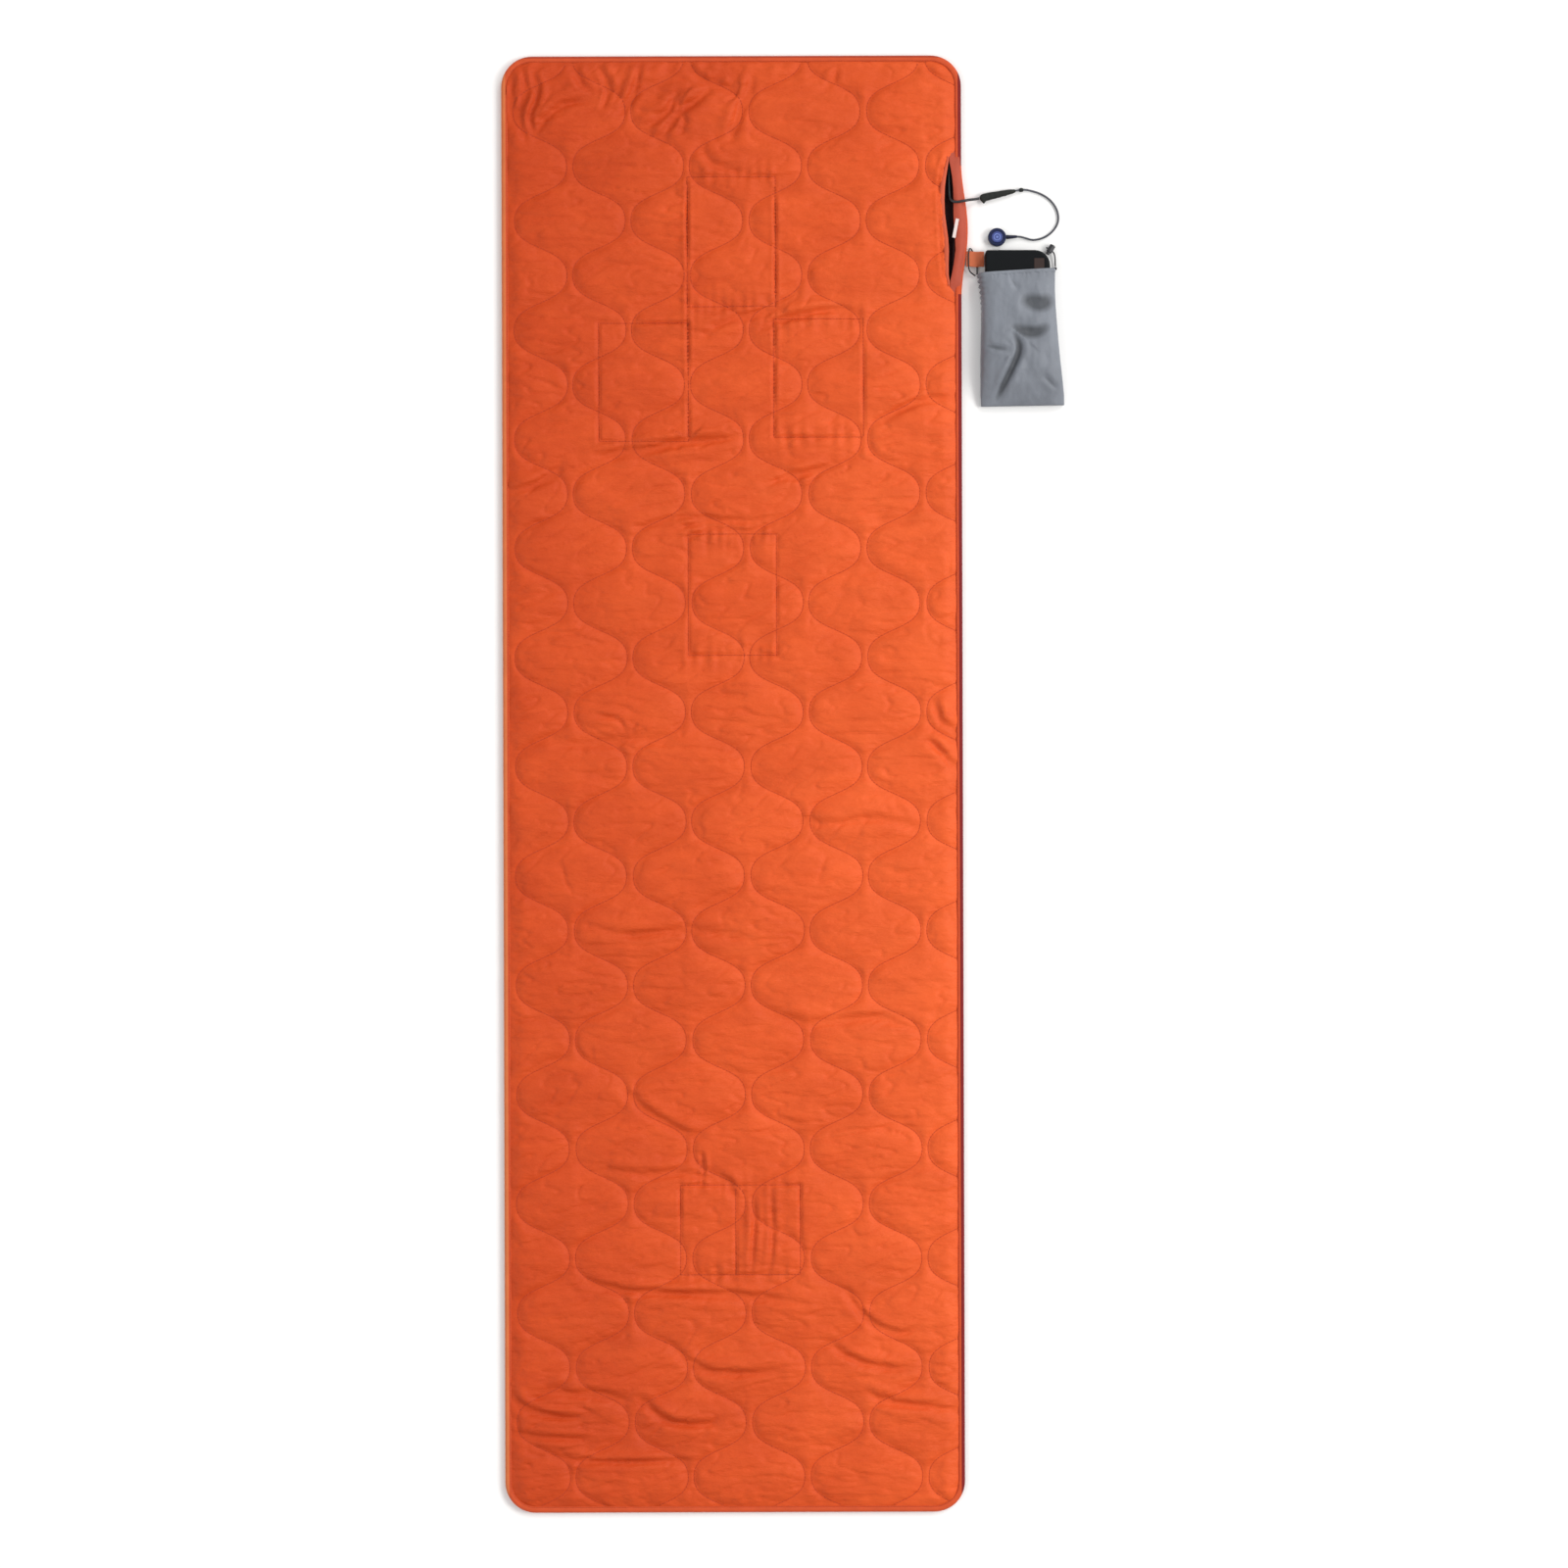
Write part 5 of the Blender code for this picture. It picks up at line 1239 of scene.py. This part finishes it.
# Routes, in mm from the side anchor, with the height of the cord's centre line
LEAD_ROUTE = [
    (-16.0, 70.7, 5.8), (-16.0, 56.0, 5.8), (-15.9, 43.0, 6.0), (-15.5, 33.5, 8.0), (-14.4, 27.8, 12.5),
    (-10.8, 24.9, 14.6), (-4.0, 24.6, 14.5), (3.0, 25.8, 14.3), (9.5, 27.3, 12.6), (14.5, 28.4, 8.6),
    (19.0, 29.4, 5.4), (23.4, 30.4, 4.7),
]
CORD_ROUTE = [
    (71.0, 40.35, 4.5), (74.0, 40.85, 3.4), (78.4, 41.6, 2.9), (82.5, 42.0, 2.0), (88.0, 41.4, 1.4),
    (94.3, 39.8, 1.3), (102.7, 37.0, 1.3), (110.3, 32.9, 1.3), (116.7, 27.8, 1.3), (121.7, 21.6, 1.3),
    (125.3, 14.4, 1.3), (126.8, 6.8, 1.3), (126.4, 0.2, 1.3), (124.0, -5.8, 1.3), (120.0, -11.4, 1.3),
    (114.9, -16.1, 1.3), (108.9, -19.9, 1.3), (102.3, -22.3, 1.3), (93.2, -23.5, 1.3), (83.0, -20.9, 1.9),
    (77.5, -19.6, 2.7), (73.0, -19.3, 3.1),
]
LOOP_ROUTE = [
    (18.2, -70.4, 3.0), (14.0, -67.4, 2.8), (10.8, -64.4, 4.8), (9.5, -60.6, 7.2), (9.0, -55.0, 8.0),
    (9.0, -46.0, 8.0), (9.3, -39.6, 7.9), (10.2, -36.4, 6.8), (11.6, -34.8, 4.2), (13.6, -36.4, 1.9),
    (16.6, -42.4, 1.3), (18.8, -50.0, 1.3), (20.2, -57.0, 1.3), (20.6, -63.0, 1.8), (20.4, -68.4, 3.0),
]
TAIL_ROUTE = [
    (122.6, -58.4, 2.6), (122.5, -54.0, 3.0), (122.3, -49.2, 3.6), (121.7, -44.6, 4.1), (120.4, -40.9, 4.2),
    (118.32, -38.64, 4.2), (115.8, -37.0, 4.2), (110.7, -33.7, 4.2),
]


LEAD_DIAMETER = 3.5 * MM
CORD_DIAMETER = 2.5 * MM
STRING_DIAMETER = 1.8 * MM


def make_cord(name, route, diameter, slot, node, look=None, with_pieces=()):
    """One cord, on its route from part.py."""
    cord, length = cord_curve(name, route, diameter, finish(look or slot))
    settle(cord, slot, node)


def make_cords():
    nodes = frame["nodes"]
    make_cord("supply_lead", LEAD_ROUTE, LEAD_DIAMETER, "lead", "pocket_lead",
              with_pieces=[make_sleeve(), nodes["lead_gland"]])
    make_cord("thin_cord", CORD_ROUTE, CORD_DIAMETER, "lead", "controller_cord", look="cord",
              with_pieces=[nodes["lead_bead"]])
    make_cord("tab_loop_string", LOOP_ROUTE, STRING_DIAMETER, "string", "drawstring_loop")
    make_cord("lock_string", TAIL_ROUTE, STRING_DIAMETER, "string", "drawstring_tail")


# How wide the sleeve is along its length, from the lead's end, in mm
SLEEVE_WIDTHS = [
    (0.0, 2.3), (0.06, 4.4), (0.14, 5.1), (0.26, 5.0), (0.45, 4.5), (0.7, 3.9), (0.88, 3.1), (1.0, 1.9),
]


def make_sleeve():
    """A soft black sleeve, squashed flat and pinched towards the thin cord, with a loose corner."""
    start, end = side(24.2, 30.55), side(70.6, 40.25)
    along = end - start
    across = Vector((-along.y, along.x, 0)).normalized()
    table = np.array(SLEEVE_WIDTHS)

    def place(s, t):
        wide = np.interp(t, table[:, 0], table[:, 1]) * MM
        angle = 2 * math.pi * s
        tall = min(wide, 3.9 * MM)
        flap = 3.2 * MM * math.exp(-((t - 0.08) / 0.05) ** 2) * max(0.0, -math.cos(angle)) ** 3
        fold = 0.3 * MM * noise.noise(Vector((t * 14, s * 5, 2)))
        spot = start + along * t + across * ((wide + fold) * math.cos(angle) - flap)
        height = 4.3 * MM + (tall + fold) * math.sin(angle)
        return Vector((spot.x, spot.y, max(0.2 * MM, height)))

    sleeve = closed(shaped_sheet("soft_sleeve", 24, 60, place, finish("sleeve"), wrap=True))
    settle(sleeve, "sleeve", "lead_sleeve")
    return sleeve


# ---------------------------------------------------------------- pouch

# Stations from mouth to foot, in mm from the side anchor: left x, left y, right x, right y, height
POUCH_STATIONS = [
    (21.5, -71.5, 121.5, -65.6, 25.4),
    (22.0, -76.0, 121.6, -71.0, 25.6),
    (24.3, -92.0, 121.4, -90.0, 25.6),
    (25.5, -112.0, 122.3, -112.0, 25.6),
    (25.4, -135.0, 124.0, -135.0, 25.6),
    (24.8, -159.0, 126.0, -159.0, 25.6),
    (24.4, -180.0, 128.0, -180.0, 25.4),
    (24.4, -194.0, 129.6, -194.0, 24.8),
    (24.4, -212.0, 131.6, -211.5, 20.0),
    (24.4, -228.0, 133.2, -227.0, 13.0),
    (25.2, -241.2, 133.6, -239.6, 7.0),
]
# Folds of the pouch, as for the cover but in mm from the side anchor
POUCH_FOLDS = [
    ([(76, -98), (88, -106), (104, -109), (119, -98)], 3.6, 12.0),
    ([(60, -138), (80, -145), (98, -146), (116, -135)], 3.4, 9.0),
    ([(64, -143), (72, -158), (73, -172), (65, -192), (54, -214), (43, -238)], 4.6, 4.6),
    ([(27, -163), (45, -167), (63, -170)], 2.4, 3.6),
    ([(104, -202), (114, -210), (125, -221)], 1.8, 3.6),
    ([(62, -74), (68, -84), (72, -93)], 1.6, 3.0),
]
POUCH_RISE = 2.6


def pouch_station(t):
    """The pouch's outline and height at a share of the way from its mouth to its foot."""
    table = np.array(POUCH_STATIONS)
    where = np.linspace(0, 1, len(table))
    spans = np.abs(np.diff((table[:, 1] + table[:, 3]) / 2))
    where = np.concatenate([[0], np.cumsum(spans)]) / spans.sum()
    return [np.interp(t, where, table[:, k]) for k in range(5)]


def pouch_section(count):
    """Evenly spaced (reach, rise) round the pouch's section, from its right side over the top."""
    corners = []
    for k in range(721):
        c, s = math.cos(math.pi * k / 360), math.sin(math.pi * k / 360)
        power = 5.0 if s > 0 else 8.0
        corners.append((math.copysign(abs(c) ** (2 / power), c), math.copysign(abs(s) ** (2 / power), s)))
    corners = np.array(corners)
    steps = np.hypot(50 * np.diff(corners[:, 0]), 11 * np.diff(corners[:, 1]))
    walked = np.concatenate([[0], np.cumsum(steps)])
    even = np.linspace(0, walked[-1], count, endpoint=False)
    return [(float(a), float(b)) for a, b in zip(np.interp(even, walked, corners[:, 0]),
                                                 np.interp(even, walked, corners[:, 1]))]


def pouch_point(reach, rise, t):
    """A point of the pouch's plain skin, in mm from the side anchor."""
    lx, ly, rx, ry, tall = pouch_station(t)
    low = min(6.0, tall / 2)
    u = (lx + rx) / 2 + (rx - lx) / 2 * reach
    v = (ly + ry) / 2 + (ry - ly) / 2 * reach
    return u, v, low + (tall - low if rise > 0 else low) * rise


def make_pouch():
    """The pouch's skin, sewn shut at its foot and open at its mouth, with its folds."""
    around = 168
    section = pouch_section(around)
    lines = []
    for points, depth, half in POUCH_FOLDS:
        fine, _ = smooth_line([Vector((x, y, 0)) for x, y in points], 120)
        for k, p in enumerate(fine):
            rise = math.sin(math.pi * (k + 1) / (len(fine) + 1)) ** 0.7
            lines.append((p.x, p.y, depth * rise, half))
    tree = tree_of([(x, y) for x, y, _, _ in lines])

    def place(s, t):
        reach, rise = section[round(s * around) % around]
        u, v, z = pouch_point(reach, rise, t)
        if rise > 0:
            _, k, far = tree.find((u, v, 0))
            depth, half = lines[k][2], lines[k][3]
            flank = max(0.0, 1 - abs(reach) ** 6)
            below_mouth = min(1.0, t / 0.12)
            z += POUCH_RISE * flank * below_mouth
            z -= depth * math.exp(-(far / half) ** 2) * flank * below_mouth
            z += 0.45 * depth * math.exp(-((far - 2.0 * half) / half) ** 2) * flank * below_mouth
            z += 1.6 * noise.noise(Vector((u * 0.05, v * 0.035, 3))) * flank * below_mouth
            z += 0.5 * noise.noise(Vector((u * 0.16, v * 0.10, 6))) * flank
            hem = math.exp(-(t / 0.035) ** 2)
            z += 0.5 * hem * math.sin(u * 0.9 + 2 * math.sin(u * 0.3)) * flank
        gather = math.exp(-(t / 0.22) ** 2) * max(0.0, -reach) ** 8
        u += 1.9 * gather * math.sin(v * 0.9)
        return side(u, v, max(0.05, z))

    skin = shaped_sheet("pouch_cloth", around, 96, place, finish("pouch"), wrap=True)
    closed(skin, before=SLIT_Y - 236 * MM)
    # Painted shade: how much darker the cloth is painted in each fold, deepest along its line.
    shade = skin.data.attributes.new("painted_fold_shade", "FLOAT", "POINT")
    for k, vertex in enumerate(skin.data.vertices):
        spot = (vertex.co - ANCHOR) / MM
        _, at, far = tree.find((spot.x, spot.y, 0))
        shade.data[k].value = min(1.0, lines[at][2] / 3.6) * math.exp(-(far / lines[at][3]) ** 2)
    return thicken(skin, 0.5 * MM, -1)


def make_pouch_hem():
    """The casing round the pouch's mouth."""
    around = 180
    section = pouch_section(around)

    def place(s, t):
        u, v, z = pouch_point(*section[round(s * around) % around], 0.0)
        centre_u, centre_z = 71.5, 12.0
        out = Vector((u - centre_u, 0, (z - centre_z) * 2.2)).normalized()
        angle = 2 * math.pi * t
        tuck = 0.25 * math.sin(s * 150) + 0.15 * math.sin(s * 67)
        lift = (0.75 + tuck * 0.5) * math.cos(angle)
        spot = Vector((u, v + 0.4 + 2.6 * math.sin(angle), z)) + out * lift
        return side(spot.x, spot.y, max(0.05, spot.z))

    return shaped_sheet("pouch_hem", around, 10, place, finish("pouch"), wrap=True)


def make_lock_spring():
    """The cord lock's spring, made again from its part's mesh in place of that part."""
    press = next(j for j in frame["record"]["behaviour"]["joints"] if j["name"] == "lock_press")
    axis = Vector(press["axis"]).normalized()
    bm = bmesh.new()
    bm.from_mesh(frame["nodes"]["lock_spring"].data)
    bmesh.ops.remove_doubles(bm, verts=bm.verts, dist=1e-6)
    spots = sorted((v.co.copy() for v in bm.verts), key=axis.dot)
    seat = spots[-1]
    spring = link_mesh(bm, "shortening_spring", finish("metal"))
    settle(spring, "metal", "lock_spring")
    tuple(seat)
    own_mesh(spring)


# ---------------------------------------------------------------- pieces that keep their shape

NODE_FINISH = {
    "heater": HEATERS,
    "harness": ("harness_feed", "harness_back", "harness_feet"),
    "lining": ("pocket_bag",),
    "lead": ("lead_gland",),
    "sleeve": ("lead_bead",),
    "shell": ("controller_base", "controller_relief"),
    "bezel": ("controller_bezel",),
    "button": ("controller_button",),
    "board": ("controller_board", "bank_board"),
    "switch": ("controller_switch", "bank_switch", "bank_button"),
    "bank": ("bank_lower_shell", "bank_upper_shell"),
    "cell": ("bank_cell_lower", "bank_cell_upper"),
    "window": ("bank_window",),
    "metal": ("bank_port",),
    "string": ("string_knot",),
    "lock": ("lock_body", "lock_plunger"),
}


def finish_frame_nodes():
    for name, nodes in NODE_FINISH.items():
        for node in nodes:
            mesh = frame["nodes"][node].data
            mesh.materials.clear()
            mesh.materials.append(finish(name))


def settle(piece, slot, *nodes, padded=None):
    """Every new piece rides on the root and stands for the nodes it replaces, which are hidden."""
    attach(piece, "root")
    if nodes:
        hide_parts(*nodes)


def main():
    make_camera()
    make_cords()
    make_studio()
    finish_frame_nodes()

    top = make_quilted_top()
    settle(top, "cover", "top_cover", padded=0.6)
    surface = surface_tree(top)
    runs = seam_runs(EDGE_INSET + 1.5 * MM)
    for name, lines in (("seam_stitches", runs), ("heater_stitches", heater_loops())):
        settle(make_stitches(name, lines, 4.2 * MM, 3.4 * MM, 0.7 * MM, surface, SEAM_Z), "cover")

    settle(make_back(), "lining", "back_cover", padded=0.3)
    settle(make_wadding(), "batting", "batting", padded=0.5)
    tape = make_binding()
    settle(tape, "binding", "edge_binding")
    tape_line = [[(p.x, p.y) for p, _ in edge_line(7.4 * MM, 2 * MM)]]
    tape_stitches = make_stitches("binding_stitches", tape_line, 3.4 * MM, 2.6 * MM, 0.6 * MM,
                                  surface_tree(tape), 9.3 * MM)
    settle(tape_stitches, "binding")

    settle(make_facing(), "welt", "welt_outer")
    settle(make_welt(), "welt", "welt_inner")
    settle(make_label(), "label", "care_label")
    settle(make_tab(), "webbing", "webbing_tab")
    settle(make_pouch(), "pouch", "pouch")
    settle(make_pouch_hem(), "pouch")
    make_lock_spring()


main()
